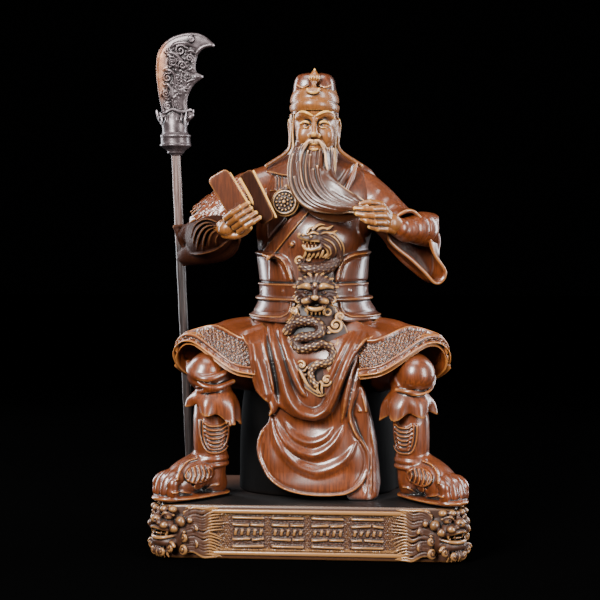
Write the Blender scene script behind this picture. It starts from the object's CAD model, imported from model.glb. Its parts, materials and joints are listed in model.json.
"""A carved and lacquered seated general on a plinth, with a polearm at his side.

The figure is hand-carved work cast in resin, so its figure pieces are sculpted as clay: fields of signed
distances that are joined, carved and embossed, and then skinned. Its plain turned and sawn pieces are
modelled from primitives. Carving is written in millimetres, x to the viewer's right, -y to the front and
z above the plinth's top.
"""

import json
import math

import bmesh
import bpy
import numpy as np
import openvdb
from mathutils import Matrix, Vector

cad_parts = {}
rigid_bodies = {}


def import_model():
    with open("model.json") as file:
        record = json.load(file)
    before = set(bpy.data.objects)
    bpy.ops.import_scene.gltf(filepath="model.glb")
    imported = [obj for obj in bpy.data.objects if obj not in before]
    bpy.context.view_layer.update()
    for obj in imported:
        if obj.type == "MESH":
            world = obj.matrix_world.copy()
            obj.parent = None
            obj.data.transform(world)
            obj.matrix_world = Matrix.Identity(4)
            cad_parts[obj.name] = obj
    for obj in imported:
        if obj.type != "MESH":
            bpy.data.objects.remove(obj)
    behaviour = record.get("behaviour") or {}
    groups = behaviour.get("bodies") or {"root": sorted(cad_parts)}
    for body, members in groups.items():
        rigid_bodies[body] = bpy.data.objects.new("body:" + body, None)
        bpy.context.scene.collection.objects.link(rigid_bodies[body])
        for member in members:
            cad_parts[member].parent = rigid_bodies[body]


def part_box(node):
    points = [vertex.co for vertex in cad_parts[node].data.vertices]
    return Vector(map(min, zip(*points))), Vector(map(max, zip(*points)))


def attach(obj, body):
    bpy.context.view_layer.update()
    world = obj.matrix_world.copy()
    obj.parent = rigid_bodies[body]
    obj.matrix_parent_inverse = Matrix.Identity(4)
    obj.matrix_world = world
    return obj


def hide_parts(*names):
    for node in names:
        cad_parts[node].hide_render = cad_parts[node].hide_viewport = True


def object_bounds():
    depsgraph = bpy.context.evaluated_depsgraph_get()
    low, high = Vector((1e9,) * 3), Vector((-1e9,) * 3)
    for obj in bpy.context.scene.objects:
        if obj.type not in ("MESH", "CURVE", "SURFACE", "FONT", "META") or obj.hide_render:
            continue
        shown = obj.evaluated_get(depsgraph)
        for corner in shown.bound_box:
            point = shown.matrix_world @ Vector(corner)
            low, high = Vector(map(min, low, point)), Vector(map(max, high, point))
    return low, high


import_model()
cad_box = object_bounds()

bl_info = {
    "name": "Carved seated general",
    "version": (1, 0, 0),
    "blender": (4, 5, 0),
    "location": "View3D > Sidebar > Statue",
    "description": "Models a lacquered resin statue on its plinth, piece by piece",
    "category": "Object",
}

MM = 0.001
FIGURE = "figure_and_plinth"
SHAFT = "polearm_shaft"
HEAD = "polearm_head"
# From the plinth's top to the bud of the cap, in millimetres
FIGURE_HEIGHT = 335.0
PLINTH_HEIGHT = round(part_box(FIGURE)[1].z / MM - FIGURE_HEIGHT, 3)
# Distances are kept up to this many millimetres from the skin
FAR = 4.0
# Parts that a smooth line makes of each stretch between two stations
EXTRA_STEPS = 6
# Shares of the way that a point moves on the first and second pass of each smoothing
SMOOTH_IN, SMOOTH_OUT = 0.5, -0.52


# Clay


def smooth_line(stations, steps=EXTRA_STEPS):
    """A smooth curve through the stations, all of their columns eased alike."""
    p = np.array(stations, float)
    if len(p) < 2:
        return p
    padded = np.vstack([2 * p[0] - p[1], p, 2 * p[-1] - p[-2]])
    t = np.linspace(0, 1, steps, endpoint=False)[:, None]
    parts = []
    for a, b, c, d in zip(padded, padded[1:], padded[2:], padded[3:]):
        bend = (2 * a - 5 * b + 4 * c - d) * t**2 + (3 * b - a - 3 * c + d) * t**3
        parts.append(0.5 * (2 * b + (c - a) * t + bend))
    return np.vstack(parts + [p[-1:]])


def blended_low(a, b, soft):
    """The lower of two distances, with the crease between them filled to a soft fillet."""
    if soft <= 0:
        return np.minimum(a, b)
    near = np.maximum(soft - np.abs(a - b), 0) / soft
    return np.minimum(a, b) - near * near * (soft / 4)


def blended_high(a, b, soft):
    """The higher of two distances, which is what two forms share, with a soft edge."""
    return -blended_low(-a, -b, soft)


def sided(s, stations, middle=0.0):
    """Stations set off to a side of a middle."""
    return [(middle + x * s, *rest) for x, *rest in stations]


def closed_line(outline, steps):
    """An outline that ends on its first point, eased if steps is over 1."""
    line = np.array(list(outline) + [outline[0]], float)
    return smooth_line(line, steps) if steps > 1 else line


def turned(degrees):
    """The rotation matrix of turns about x, y and z, made in that order."""
    made = np.eye(3)
    for axis, angle in enumerate(np.radians(degrees)):
        c, s = math.cos(angle), math.sin(angle)
        i, j = [(1, 2), (2, 0), (0, 1)][axis]
        step = np.eye(3)
        step[i, i], step[j, j], step[i, j], step[j, i] = c, c, -s, s
        made = step @ made
    return made


def filled(stations, width):
    """Stations with their missing last columns set to 1."""
    return [list(s) + [1.0] * (width - len(s)) for s in stations]


class Clay:
    """A block of clay held as signed distances in millimetres, negative inside."""

    def __init__(self, low, high, step):
        self.step = step
        self.low = np.array(low, float)
        self.count = np.ceil((np.array(high) - self.low) / step).astype(int) + 1
        self.form = np.full(self.count, FAR, np.float32)

    def spans(self, low, high):
        """The cells between two corners, as a slice along each axis."""
        first = np.floor((np.array(low) - self.low) / self.step).astype(int)
        last = np.ceil((np.array(high) - self.low) / self.step).astype(int) + 1
        first, last = np.clip(first, 0, self.count), np.clip(last, 0, self.count)
        return tuple(slice(int(a), int(max(a, b))) for a, b in zip(first, last))

    def whole(self):
        """All of the block's cells."""
        return tuple(slice(0, int(n)) for n in self.count)

    def places(self, spans):
        """The x, y and z of the cells in spans."""
        x, y, z = (
            (self.low[k] + self.step * np.arange(s.start, s.stop)).astype(np.float32)
            for k, s in enumerate(spans)
        )
        return x[:, None, None], y[None, :, None], z[None, None, :]

    def put(self, spans, away, soft, cut):
        """Adds or cuts a form by its distances."""
        here = self.form[spans]
        if here.size:
            self.form[spans] = blended_high(here, -away, soft) if cut else blended_low(here, away, soft)

    def ball(self, centre, radii, turn=(0, 0, 0), soft=1.0, cut=False):
        """Adds or cuts an ellipsoid."""
        matrix = turned(turn)
        radii = np.array(radii, float) * np.ones(3)
        reach = np.sqrt(((matrix * radii) ** 2).sum(1)) + max(soft, 1.5 * self.step) + self.step
        centre = np.array(centre, float)
        spans = self.spans(centre - reach, centre + reach)
        x, y, z = self.places(spans)
        x, y, z = x - centre[0], y - centre[1], z - centre[2]
        near = far = 0
        for k in range(3):
            q = (matrix[0, k] * x + matrix[1, k] * y + matrix[2, k] * z) / radii[k]
            near = near + q * q
            far = far + (q / radii[k]) ** 2
        near, far = np.sqrt(near), np.sqrt(far) + 1e-6
        away = (near * (near - 1) / far).astype(np.float32)
        self.put(spans, np.minimum(away, FAR), soft, cut)

    def limb(self, stations, soft=1.0, across=None, cut=False, steps=EXTRA_STEPS, pattern=None):
        """Adds or cuts a round limb along stations [x, y, z, radius, share of the radius kept across]."""
        line = smooth_line(filled(stations, 5), steps)
        points, radii, flats = line[:, :3], np.maximum(line[:, 3], 0.05), line[:, 4]
        pad = max(soft, 1.5 * self.step) + self.step + (1.5 if pattern else 0)
        wide = (radii * np.maximum(flats, 1) + pad)[:, None]
        whole = self.spans((points - wide).min(0), (points + wide).max(0))
        start = [s.start for s in whole]
        away = np.full([s.stop - s.start for s in whole], FAR, np.float32)
        if not away.size:
            return
        passed = 0.0
        for a, b, ra, rb, fa, fb, wa, wb in zip(
            points, points[1:], radii, radii[1:], flats, flats[1:], wide, wide[1:]
        ):
            reach = max(wa[0], wb[0])
            spans = self.spans(np.minimum(a, b) - reach, np.maximum(a, b) + reach)
            spans = tuple(slice(max(p.start, w.start), min(p.stop, w.stop)) for p, w in zip(spans, whole))
            x, y, z = self.places(spans)
            ab = b - a
            length = max(float(np.linalg.norm(ab)), 1e-6)
            along = ab / length
            x, y, z = x - a[0], y - a[1], z - a[2]
            s = x * along[0] + y * along[1] + z * along[2]
            share = np.clip(s / length, 0, 1)
            on = share * length
            x, y, z = x - on * along[0], y - on * along[1], z - on * along[2]
            square = x * x + y * y + z * z
            if across is not None:
                thin = np.array(across, float)
                thin = thin - along * (thin @ along)
                thin /= max(float(np.linalg.norm(thin)), 1e-6)
                flat = fa + (fb - fa) * share
                off = x * thin[0] + y * thin[1] + z * thin[2]
                square = square + off * off * (1 / flat**2 - 1)
            gap = np.sqrt(square) - (ra + (rb - ra) * share)
            if pattern:
                beside = np.cross(along, thin)
                gap = gap - pattern(passed + on, x * beside[0] + y * beside[1] + z * beside[2])
            part = tuple(slice(p.start - q, p.stop - q) for p, q in zip(spans, start))
            away[part] = np.minimum(away[part], gap)
            passed += length
        self.put(whole, away, soft, cut)

    def loft(self, rings, soft=1.0, cut=False):
        """Adds or cuts the closed skin over rings of points."""
        points, quads, ends = skin_of(rings)
        spans = self.spans(points.min(0) - FAR, points.max(0) + FAR)
        corner = self.low + self.step * np.array([s.start for s in spans])
        volume = openvdb.FloatGrid.createLevelSetFromPolygons(
            ((points - corner) / self.step).astype(np.float32),
            triangles=ends.astype(np.uint32),
            quads=quads.astype(np.uint32),
            transform=openvdb.createLinearTransform(voxelSize=1.0),
            halfWidth=FAR / self.step,
        )
        away = np.empty([s.stop - s.start for s in spans], np.float32)
        volume.copyToArray(away)
        self.put(spans, away * self.step, soft, cut)

    def plane(self, point, normal, soft=0.5):
        """Cuts away all that lies past a plane."""
        x, y, z = self.places(self.whole())
        n = np.array(normal, float) / np.linalg.norm(normal)
        away = (x - point[0]) * n[0] + (y - point[1]) * n[1] + (z - point[2]) * n[2]
        self.form = blended_high(self.form, away.astype(np.float32), soft)

    def emboss(self, relief, depth=(-200, 200)):
        """Raises the skin by a relief that is seen from the front, between two depths."""
        spans = self.spans((self.low[0], depth[0], self.low[2]), (999, depth[1], 999))
        self.form[spans] -= relief.height[:, None, :]

    def skin(self, smoothing=2):
        """The clay's surface: points in millimetres and quads that face out."""
        volume = openvdb.FloatGrid(FAR)
        volume.copyFromArray(self.form)
        points, _, quads = volume.convertToPolygons(0.0)
        points = points.astype(float) * self.step + self.low
        quads = quads.astype(np.int64)
        a, b, c, d = (points[quads[:, k]] for k in range(4))
        if (np.cross(b - a, c - a) * a).sum() + (np.cross(c - a, d - a) * a).sum() < 0:
            quads = quads[:, ::-1]
        edges = edges_of(quads)
        for _ in range(smoothing):
            for share in (SMOOTH_IN, SMOOTH_OUT):
                points = eased(points, edges, share)
        return points, quads


def skin_of(rings):
    """Points, quads and end triangles of the skin over rings that each have the same count."""
    rings = np.array(rings, float)
    m, n = rings.shape[:2]
    i, j = np.meshgrid(np.arange(m - 1), np.arange(n), indexing="ij")
    a, b = i * n + j, i * n + (j + 1) % n
    quads = np.stack([a, b, b + n, a + n], -1).reshape(-1, 4)
    points = np.vstack([rings.reshape(-1, 3), rings[0].mean(0), rings[-1].mean(0)])
    k = np.arange(n)
    first = np.stack([np.full(n, m * n), (k + 1) % n, k], -1)
    last = np.stack([np.full(n, m * n + 1), (m - 1) * n + k, (m - 1) * n + (k + 1) % n], -1)
    return points, quads, np.vstack([first, last])


def edges_of(faces):
    """The edges of faces, each once and as one number, and the base that splits it into two points."""
    following = np.roll(faces, -1, 1)
    pairs = np.vstack([np.stack([faces[:, k], following[:, k]], 1) for k in range(faces.shape[1])])
    pairs = np.sort(pairs, 1)
    return np.unique(pairs[:, 0] * (pairs.max() + 1) + pairs[:, 1]), int(pairs.max() + 1)


def eased(points, edges, share):
    """Points moved towards the middle of their neighbours by a share of the way."""
    keys, base = edges
    a, b = keys // base, keys % base
    n = len(points)
    count = np.bincount(a, minlength=n) + np.bincount(b, minlength=n)
    moved = np.empty_like(points)
    for k in range(3):
        total = np.bincount(a, points[b, k], n) + np.bincount(b, points[a, k], n)
        moved[:, k] = total / np.maximum(count, 1)
    return points + share * (moved - points)


class Relief:
    """Heights over a raster of x and z, drawn with strokes, beads and scrolls."""

    def __init__(self, x, z):
        self.x, self.z = x[:, None], z[None, :]
        self.height = np.zeros((len(x), len(z)), np.float32)

    @classmethod
    def over(cls, clay):
        """A relief that lies over the front of a block of clay."""
        return cls(*(clay.low[k] + clay.step * np.arange(clay.count[k]) for k in (0, 2)))

    def window(self, points, reach):
        """The part of the raster that is within reach of points."""
        low, high = points.min(0) - reach, points.max(0) + reach
        i = np.searchsorted(self.x[:, 0], [low[0], high[0]])
        j = np.searchsorted(self.z[0], [low[1], high[1]])
        return slice(*i), slice(*j)

    def near(self, points, reach):
        """The window that a polyline reaches, and in it the distance to it and the index along it."""
        part = self.window(points, reach)
        x, z = self.x[part[0]], self.z[:, part[1]]
        away = np.full((x.shape[0], z.shape[1]), 1e3)
        place = np.zeros_like(away)
        for k, (a, b) in enumerate(zip(points, points[1:])):
            ab = b - a
            square = max(ab @ ab, 1e-9)
            t = np.clip(((x - a[0]) * ab[0] + (z - a[1]) * ab[1]) / square, 0, 1)
            gap = np.hypot(x - a[0] - t * ab[0], z - a[1] - t * ab[1])
            closer = gap < away
            away[closer] = gap[closer]
            place[closer] = (k + t)[closer]
        return part, away, place

    def stroke(self, stations, width, height, steps=5, taper=0.0, sharp=False, add=False):
        """A ridge, or a groove when the height is negative, along stations [x, z, share of the width]."""
        line = smooth_line(filled(stations, 3), steps)
        points, shares = line[:, :2], line[:, 2]
        part, away, place = self.near(points, width * shares.max() + 1)
        size = np.interp(place, np.arange(len(shares)), shares)
        if taper:
            ends = np.minimum(place, len(points) - 1 - place) / (len(points) - 1)
            size = size * np.clip(ends / taper, 0.05, 1) ** 0.5
        share = np.clip(away / np.maximum(width * size, 1e-3), 0, 1)
        profile = np.sqrt(1 - share**2) if sharp else 0.5 * (1 + np.cos(np.pi * share))
        self.merge(part, height * profile * np.minimum(size, 1), add)

    def merge(self, part, rise, add=False):
        """Adds a rise to what is there, or keeps the larger of the two."""
        here = self.height[part]
        if add:
            self.height[part] = here + rise
        elif rise.size and abs(rise.min()) > abs(rise.max()):
            self.height[part] = np.minimum(here, rise)
        else:
            self.height[part] = np.maximum(here, rise)

    def bead(self, x, z, radius, height):
        """A round bead."""
        part = self.window(np.array([[x, z]]), radius + 1)
        gap = np.hypot(self.x[part[0]] - x, self.z[:, part[1]] - z) / radius
        self.merge(part, height * np.sqrt(np.clip(1 - gap**2, 0, 1)))

    def scroll(self, x, z, radius, turns=1.5, start=0.0, spin=1, width=1.0, height=1.2):
        """A spiral ridge that winds in to its centre."""
        t = np.linspace(0, 1, int(14 * turns) + 2)
        angle = np.radians(start) + spin * 2 * np.pi * turns * t
        r = radius * (1 - 0.86 * t)
        points = np.stack([x + r * np.cos(angle), z + r * np.sin(angle)], 1)
        part, away, _ = self.near(points, width + 1)
        share = np.clip(away / width, 0, 1)
        self.merge(part, height * np.sqrt(1 - share**2))

    def patch(self, outline, height, edge=1.2, steps=4):
        """A raised field inside a closed outline, with sloping edges."""
        line = closed_line(outline, steps)
        part, away, _ = self.near(line, edge + 1)
        inside = inside_of(line, self.x[part[0]], self.z[:, part[1]])
        signed = np.where(inside, -away, away)
        self.merge(part, height * np.clip(0.5 - signed / edge, 0, 1))

    def sample(self, x, z):
        """The heights at places between the raster's points."""
        step = self.x[1, 0] - self.x[0, 0]
        u = np.clip((x - self.x[0, 0]) / step, 0, self.height.shape[0] - 1.001)
        v = np.clip((z - self.z[0, 0]) / step, 0, self.height.shape[1] - 1.001)
        i, j = u.astype(int), v.astype(int)
        u, v = u - i, v - j
        h = self.height
        low = h[i, j] * (1 - u) + h[i + 1, j] * u
        return low * (1 - v) + (h[i, j + 1] * (1 - u) + h[i + 1, j + 1] * u) * v


def inside_of(line, x, z):
    """Whether each point of a raster lies inside a closed line."""
    inside = np.zeros(np.broadcast(x, z).shape, bool)
    for (ax, az), (bx, bz) in zip(line[:, :2], line[1:, :2]):
        if az == bz:
            continue
        crosses = (az > z) != (bz > z)
        inside ^= crosses & (x < (bx - ax) * (z - az) / (bz - az) + ax)
    return inside


def scales(along, beside, pitch, rise):
    """Heights of overlapping scales whose tips point along."""
    u, v = along / pitch, beside / pitch
    made = np.zeros(np.broadcast(u, v).shape, np.float32)
    for back in (0, 1):
        row = np.floor(u) - back
        du = u - row
        dv = v + 0.5 * (row % 2)
        dv = dv - np.floor(dv) - 0.5
        shape = 1 - (du - 0.55) ** 2 - (dv / 0.52) ** 2
        made = np.maximum(made, np.where(shape > 0, np.minimum(shape * 3, 1) * (0.35 + 0.4 * du), 0))
    return made * rise


# Meshes

PIECES = []
# Triangles that each sculpted piece keeps
MOST_FACES = {
    "head": 36000,
    "cap_crown": 20000,
    "cap_band": 22000,
    "hood_cloth": 16000,
    "beard": 60000,
    "torso_armour": 54000,
    "chest_medallion": 12000,
    "chest_dragon": 36000,
    "belt_lion": 30000,
    "left_sleeve": 30000,
    "left_bracer": 18000,
    "left_hand": 20000,
    "right_hand": 20000,
    "right_sleeve": 34000,
    "right_pauldron": 36000,
    "book_page_edges": 4000,
    "robe_front": 46000,
    "apron_dragon": 52000,
    "leg_right": 57000,
    "leg_left": 57000,
    "thigh_flap_right": 46000,
    "thigh_flap_left": 46000,
    "plinth_panel": 44000,
    "cloak_and_seat": 24000,
    "plinth_lion_right": 52000,
    "plinth_lion_left": 52000,
    "polearm_blade": 44000,
}


def link(name, points, faces):
    """A smooth mesh object from points in metres and quads or triangles."""
    mesh = bpy.data.meshes.new(name)
    count = faces.shape[1]
    mesh.vertices.add(len(points))
    mesh.vertices.foreach_set("co", np.asarray(points, np.float32).ravel())
    mesh.loops.add(faces.size)
    mesh.loops.foreach_set("vertex_index", faces.astype(np.int32).ravel())
    mesh.polygons.add(len(faces))
    mesh.polygons.foreach_set("loop_start", np.arange(0, faces.size, count, dtype=np.int32))
    mesh.polygons.foreach_set("use_smooth", np.ones(len(faces), bool))
    mesh.update(calc_edges=True)
    made = bpy.data.objects.new(name, mesh)
    bpy.context.scene.collection.objects.link(made)
    return made


def finish_piece(made, material, node=FIGURE):
    """Gives a piece its material and says which solid it stands for."""
    made.data.materials.clear()
    made.data.materials.append(material)
    PIECES.append(made.name)
    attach(made, "root")
    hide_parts(node)
    return made


def cast(clay, name, material, rise=PLINTH_HEIGHT, smoothing=2, node=FIGURE):
    """Skins a block of clay as a finished piece."""
    points, quads = clay.skin(smoothing)
    made = link(name, (points + (0, 0, rise)) * MM, quads)
    lighten(made)
    return finish_piece(made, material, node)


def lighten(made):
    """Collapses the flattest faces of a sculpted piece down to its share of triangles."""
    count, most = 2 * len(made.data.polygons), MOST_FACES[made.name]
    if count <= most:
        return
    deselect()
    bpy.context.view_layer.objects.active = made
    made.select_set(True)
    thinner = made.modifiers.new("lighten", "DECIMATE")
    thinner.ratio = most / count
    bpy.ops.object.modifier_apply(modifier="lighten")
    bpy.ops.object.shade_smooth()


def shell(name, front, thick, material, rise=PLINTH_HEIGHT):
    """A closed piece from a grid of front points, thick towards its back."""
    front = np.asarray(front, float)
    m, n = front.shape[:2]
    across = np.gradient(front, axis=0)
    down = np.gradient(front, axis=1)
    normal = np.cross(across, down)
    normal /= np.linalg.norm(normal, axis=2, keepdims=True) + 1e-9
    back = front - normal * np.asarray(thick, float)[..., None]
    points = np.vstack([front.reshape(-1, 3), back.reshape(-1, 3)])
    i, j = np.meshgrid(np.arange(m - 1), np.arange(n - 1), indexing="ij")
    a = (i * n + j).ravel()
    face = np.stack([a, a + n, a + n + 1, a + 1], 1)
    rim = [
        [i * n for i in range(m)],
        [(m - 1) * n + j for j in range(n)],
        [i * n + n - 1 for i in range(m - 1, -1, -1)],
        list(range(n - 1, -1, -1)),
    ]
    sides = []
    for line in rim:
        line = np.array(line)
        sides.append(np.stack([line[:-1], line[:-1] + m * n, line[1:] + m * n, line[1:]], 1))
    faces = np.vstack([face, face[:, ::-1] + m * n] + sides)
    made = link(name, (points + (0, 0, rise)) * MM, faces)
    turn_out(made)
    lighten(made)
    return finish_piece(made, material)


def turn_out(made):
    """Merges doubles and turns all faces of a closed piece outwards."""
    work = bmesh.new()
    work.from_mesh(made.data)
    bmesh.ops.remove_doubles(work, verts=work.verts, dist=1e-6)
    bmesh.ops.recalc_face_normals(work, faces=work.faces)
    work.to_mesh(made.data)
    work.free()


def deselect():
    """Leaves nothing selected, because an operator acts on all that is."""
    for one in bpy.context.selected_objects:
        one.select_set(False)


def add_box(centre, size):
    """A new box, alone selected, by its middle and sizes in millimetres."""
    deselect()
    bpy.ops.mesh.primitive_cube_add(size=1, location=[v * MM for v in centre])
    made = bpy.context.object
    made.scale = [v * MM for v in size]
    return made


def bevel_edges(made, wanted, width, segments):
    """Bevels the edges that a test of the edge and its two ends picks."""
    bpy.ops.mesh.select_mode(type="EDGE")
    bpy.ops.mesh.select_all(action="DESELECT")
    work = bmesh.from_edit_mesh(made.data)
    for edge in work.edges:
        edge.select = wanted(edge, *(v.co for v in edge.verts))
    bmesh.update_edit_mesh(made.data)
    bpy.ops.mesh.bevel(offset=width * MM, segments=segments, affect="EDGES")


def settle(name):
    """Names the new primitive and puts its place in its mesh."""
    made = bpy.context.object
    made.name = made.data.name = name
    bpy.ops.object.transform_apply(location=True, rotation=True, scale=True)
    return made


# Materials


def linear(hex_colour):
    """An sRGB hex colour as linear light."""
    parts = [int(hex_colour[k : k + 2], 16) / 255 for k in (1, 3, 5)]
    return [p / 12.92 if p <= 0.04045 else ((p + 0.055) / 1.055) ** 2.4 for p in parts] + [1.0]


def add_node(tree, kind, sockets=None, **settings):
    """Adds a node, sets its settings, and sets or links its sockets."""
    made = tree.nodes.new(kind)
    for name, value in settings.items():
        setattr(made, name, value)
    for key, value in (sockets or {}).items():
        if isinstance(value, bpy.types.NodeSocket):
            tree.links.new(value, made.inputs[key])
        else:
            made.inputs[key].default_value = value
    return made


def start_material(name):
    """A new material with an empty tree."""
    material = bpy.data.materials.new(name)
    material.use_nodes = True
    material.node_tree.nodes.clear()
    return material, material.node_tree


def end_material(tree, sockets):
    """Sets the shader's own sockets and joins it to the output."""
    shader = add_node(tree, "ShaderNodeBsdfPrincipled", sockets)
    add_node(tree, "ShaderNodeOutputMaterial", {"Surface": shader.outputs["BSDF"]})


def coated(tree, base, coats):
    """A colour under thin coats (value, low, high, colour), each growing from 0 at low to 1 at high."""
    for value, low, high, colour in coats:
        share = add_node(
            tree,
            "ShaderNodeMapRange",
            {"Value": value, "From Min": low, "From Max": high},
            interpolation_type="SMOOTHSTEP",
        ).outputs["Result"]
        base = add_node(tree, "ShaderNodeMix", {0: share, 6: base, 7: colour}, data_type="RGBA").outputs[2]
    return base


def ageing(tree, *names):
    """The marks that the ageing wrote on each point of a piece."""
    return [add_node(tree, "ShaderNodeAttribute", attribute_name=name).outputs["Fac"] for name in names]


def darker(colour, share):
    """A colour with a share of its light."""
    return [c * share for c in colour[:3]] + [1.0]


# Cast resin bends light as lacquer does. Where it is left unlacquered its dusty skin hardly mirrors
RESIN_IOR, DULL_IOR = 1.5, 1.2
MATT_GROUND = 0.52


def lacquered_resin(name, warm, worn, recess, grain, broad_wear, rough, coat):
    """Cold-cast resin stained like rosewood, wiped in its recesses and lacquered: a soft wide shine."""
    dark = darker(warm, 0.42 + 0.25 * (1 - grain))
    material, tree = start_material(name)
    place = add_node(tree, "ShaderNodeTexCoord").outputs["Object"]
    # Pores and streaks run down the figure: about 1.3 mm wide and 22 mm long
    stretch = add_node(tree, "ShaderNodeMapping", {"Vector": place, "Scale": (780, 780, 45)})
    streaks = add_node(
        tree,
        "ShaderNodeTexNoise",
        {"Vector": stretch.outputs[0], "Scale": 1.0, "Detail": 3.0, "Roughness": 0.6},
    )
    broad = add_node(tree, "ShaderNodeTexNoise", {"Vector": place, "Scale": 42.0, "Detail": 2.0})
    hollow, crest, proud, deep = ageing(tree, "hollow", "crest", "proud", "deep")
    handled = add_node(tree, "ShaderNodeMath", {0: proud, 1: broad_wear, 2: crest}, operation="MULTIPLY_ADD")
    handled = handled.outputs[0]
    streaky = coated(tree, dark, [(streaks.outputs["Fac"], 0.36, 0.66, warm)])
    patchy = coated(tree, dark, [(broad.outputs["Fac"], 0.35, 0.75, streaky)])
    base = add_node(tree, "ShaderNodeMix", {0: 0.35 + 0.3 * grain, 6: streaky, 7: patchy}, data_type="RGBA")
    # Rubbed where hands reach, and wiped dark in the recesses and deep between the forms
    layers = [
        (handled, 0.1, 1.0 - 0.3 * (1 - grain), worn),
        (hollow, 0.06, 0.6, recess),
        (deep, 0.0, 0.75, recess),
    ]
    stained = coated(tree, base.outputs[2], layers)
    gloss = add_node(
        tree,
        "ShaderNodeMapRange",
        {"Value": hollow, "To Min": rough, "To Max": min(rough + 0.3, 0.9)},
    )
    sheen = coat
    if broad_wear > 0.5:
        # Between the figures of the relief the ground stays matt
        rubbing = add_node(
            tree,
            "ShaderNodeMapRange",
            {"Value": handled, "From Min": 0.05, "From Max": 0.6},
            interpolation_type="SMOOTHSTEP",
        ).outputs["Result"]
        gloss = add_node(
            tree, "ShaderNodeMapRange", {"Value": rubbing, "To Min": MATT_GROUND, "To Max": rough}
        )
        sheen = add_node(tree, "ShaderNodeMath", {0: rubbing, 1: coat}, operation="MULTIPLY").outputs[0]
    bump = add_node(
        tree,
        "ShaderNodeBump",
        {"Height": streaks.outputs["Fac"], "Strength": 0.12 * grain, "Distance": 0.0003},
    )
    end_material(
        tree,
        {
            "Base Color": stained,
            "Roughness": gloss.outputs["Result"],
            "Normal": bump.outputs["Normal"],
            "IOR": RESIN_IOR if coat else DULL_IOR,
            "Coat Weight": sheen,
            "Coat Roughness": 0.2,
        },
    )
    return material


def pewter_paint():
    """Dark pewter-coloured paint over cast resin, rubbed bright on the relief."""
    material, tree = start_material("pewter_paint_rubbed")
    place = add_node(tree, "ShaderNodeTexCoord").outputs["Object"]
    along = add_node(tree, "ShaderNodeSeparateXYZ", {"Vector": place})
    cloud = add_node(tree, "ShaderNodeTexNoise", {"Vector": place, "Scale": 160.0, "Detail": 3.0})
    hollow, crest = ageing(tree, "hollow", "crest")
    # The upper back keeps the figure's brown stain, to about 8 mm in from its edge
    reach = 1.0
    for axis, none, full in (("X", -0.117, -0.126), ("Z", 0.345, 0.372)):
        near = add_node(
            tree,
            "ShaderNodeMapRange",
            {"Value": along.outputs[axis], "From Min": none, "From Max": full},
            interpolation_type="SMOOTHSTEP",
        ).outputs["Result"]
        reach = add_node(tree, "ShaderNodeMath", {0: near, 1: reach}, operation="MULTIPLY").outputs[0]
    cloudy = cloud.outputs["Fac"]
    grey = coated(
        tree,
        linear("#3a3132"),
        [(cloudy, 0.3, 0.7, linear("#5c5254")), (crest, 0.2, 0.95, linear("#b0a6aa"))],
    )
    brown = coated(tree, linear("#6a3c24"), [(cloudy, 0.3, 0.7, linear("#946440"))])
    base = add_node(tree, "ShaderNodeMix", {0: reach, 6: grey, 7: brown}, data_type="RGBA").outputs[2]
    washed = coated(tree, base, [(hollow, 0.04, 0.5, linear("#120c0c"))])
    end_material(tree, {"Base Color": washed, "Metallic": 0.45, "Roughness": 0.32, "IOR": RESIN_IOR})
    return material


def shaft_paint():
    """Brown-grey paint brushed along a turned rod, satin."""
    material, tree = start_material("shaft_paint_brushed")
    place = add_node(tree, "ShaderNodeTexCoord").outputs["Object"]
    stretch = add_node(tree, "ShaderNodeMapping", {"Vector": place, "Scale": (900, 900, 20)})
    streaks = add_node(
        tree, "ShaderNodeTexNoise", {"Vector": stretch.outputs[0], "Scale": 1.0, "Detail": 3.0},
    )
    height = add_node(tree, "ShaderNodeSeparateXYZ", {"Vector": place}).outputs["Z"]
    streaks = streaks.outputs["Fac"]
    upper = coated(tree, linear("#4a3a36"), [(streaks, 0.35, 0.65, linear("#7c6660"))])
    lower = coated(tree, linear("#191413"), [(streaks, 0.35, 0.65, linear("#342a28"))])
    # Brighter above the sleeve, from 235 to 250 mm up
    base = coated(tree, lower, [(height, 0.235, 0.25, upper)])
    bump = add_node(tree, "ShaderNodeBump", {"Height": streaks, "Strength": 0.15, "Distance": 0.0002})
    end_material(
        tree, {"Base Color": base, "Roughness": 0.38, "Normal": bump.outputs["Normal"], "IOR": RESIN_IOR}
    )
    return material


def studio_floor():
    """Black backdrop cloth: no shine, so the statue's own gloss reads."""
    material, tree = start_material("black_backdrop_cloth")
    place = add_node(tree, "ShaderNodeTexCoord").outputs["Object"]
    cloud = add_node(tree, "ShaderNodeTexNoise", {"Vector": place, "Scale": 3.0, "Detail": 2.0})
    base = add_node(
        tree,
        "ShaderNodeMix",
        {0: cloud.outputs["Fac"], 6: linear("#020202"), 7: linear("#040404")},
        data_type="RGBA",
    )
    end_material(tree, {"Base Color": base.outputs[2], "Roughness": 1.0, "Specular IOR Level": 0.0})
    return material


# Of each stain: how strong its grain is, how far rubbing spreads over broad forms, roughness and lacquer
FINISHES = {
    "robe": (1.0, 0.25, 0.4, 0.95),
    "armour": (1.0, 0.2, 0.4, 0.95),
    "relief": (0.3, 0.8, 0.36, 0.6),
    "skin": (0.35, 0.3, 0.4, 0.5),
    "hair": (0.3, 0.3, 0.4, 0.5),
    "dusk": (0.6, 0.2, 0.56, 0.0),
    "shade": (0.3, 0.0, 0.9, 0.0),
    "plinth": (0.5, 0.7, 0.38, 0.6),
}


# Carving of the figure

# The face's middle, a little to the viewer's right of the plinth's
MID = 1.5
SIDES = (-1, 1)


def between(table, count):
    """Rows of a table at even steps, eased."""
    line = smooth_line(table, 12)
    at = np.linspace(0, len(line) - 1, count)
    low = np.floor(at).astype(int).clip(0, len(line) - 2)
    share = (at - low)[:, None]
    return line[low] * (1 - share) + line[low + 1] * share


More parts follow.
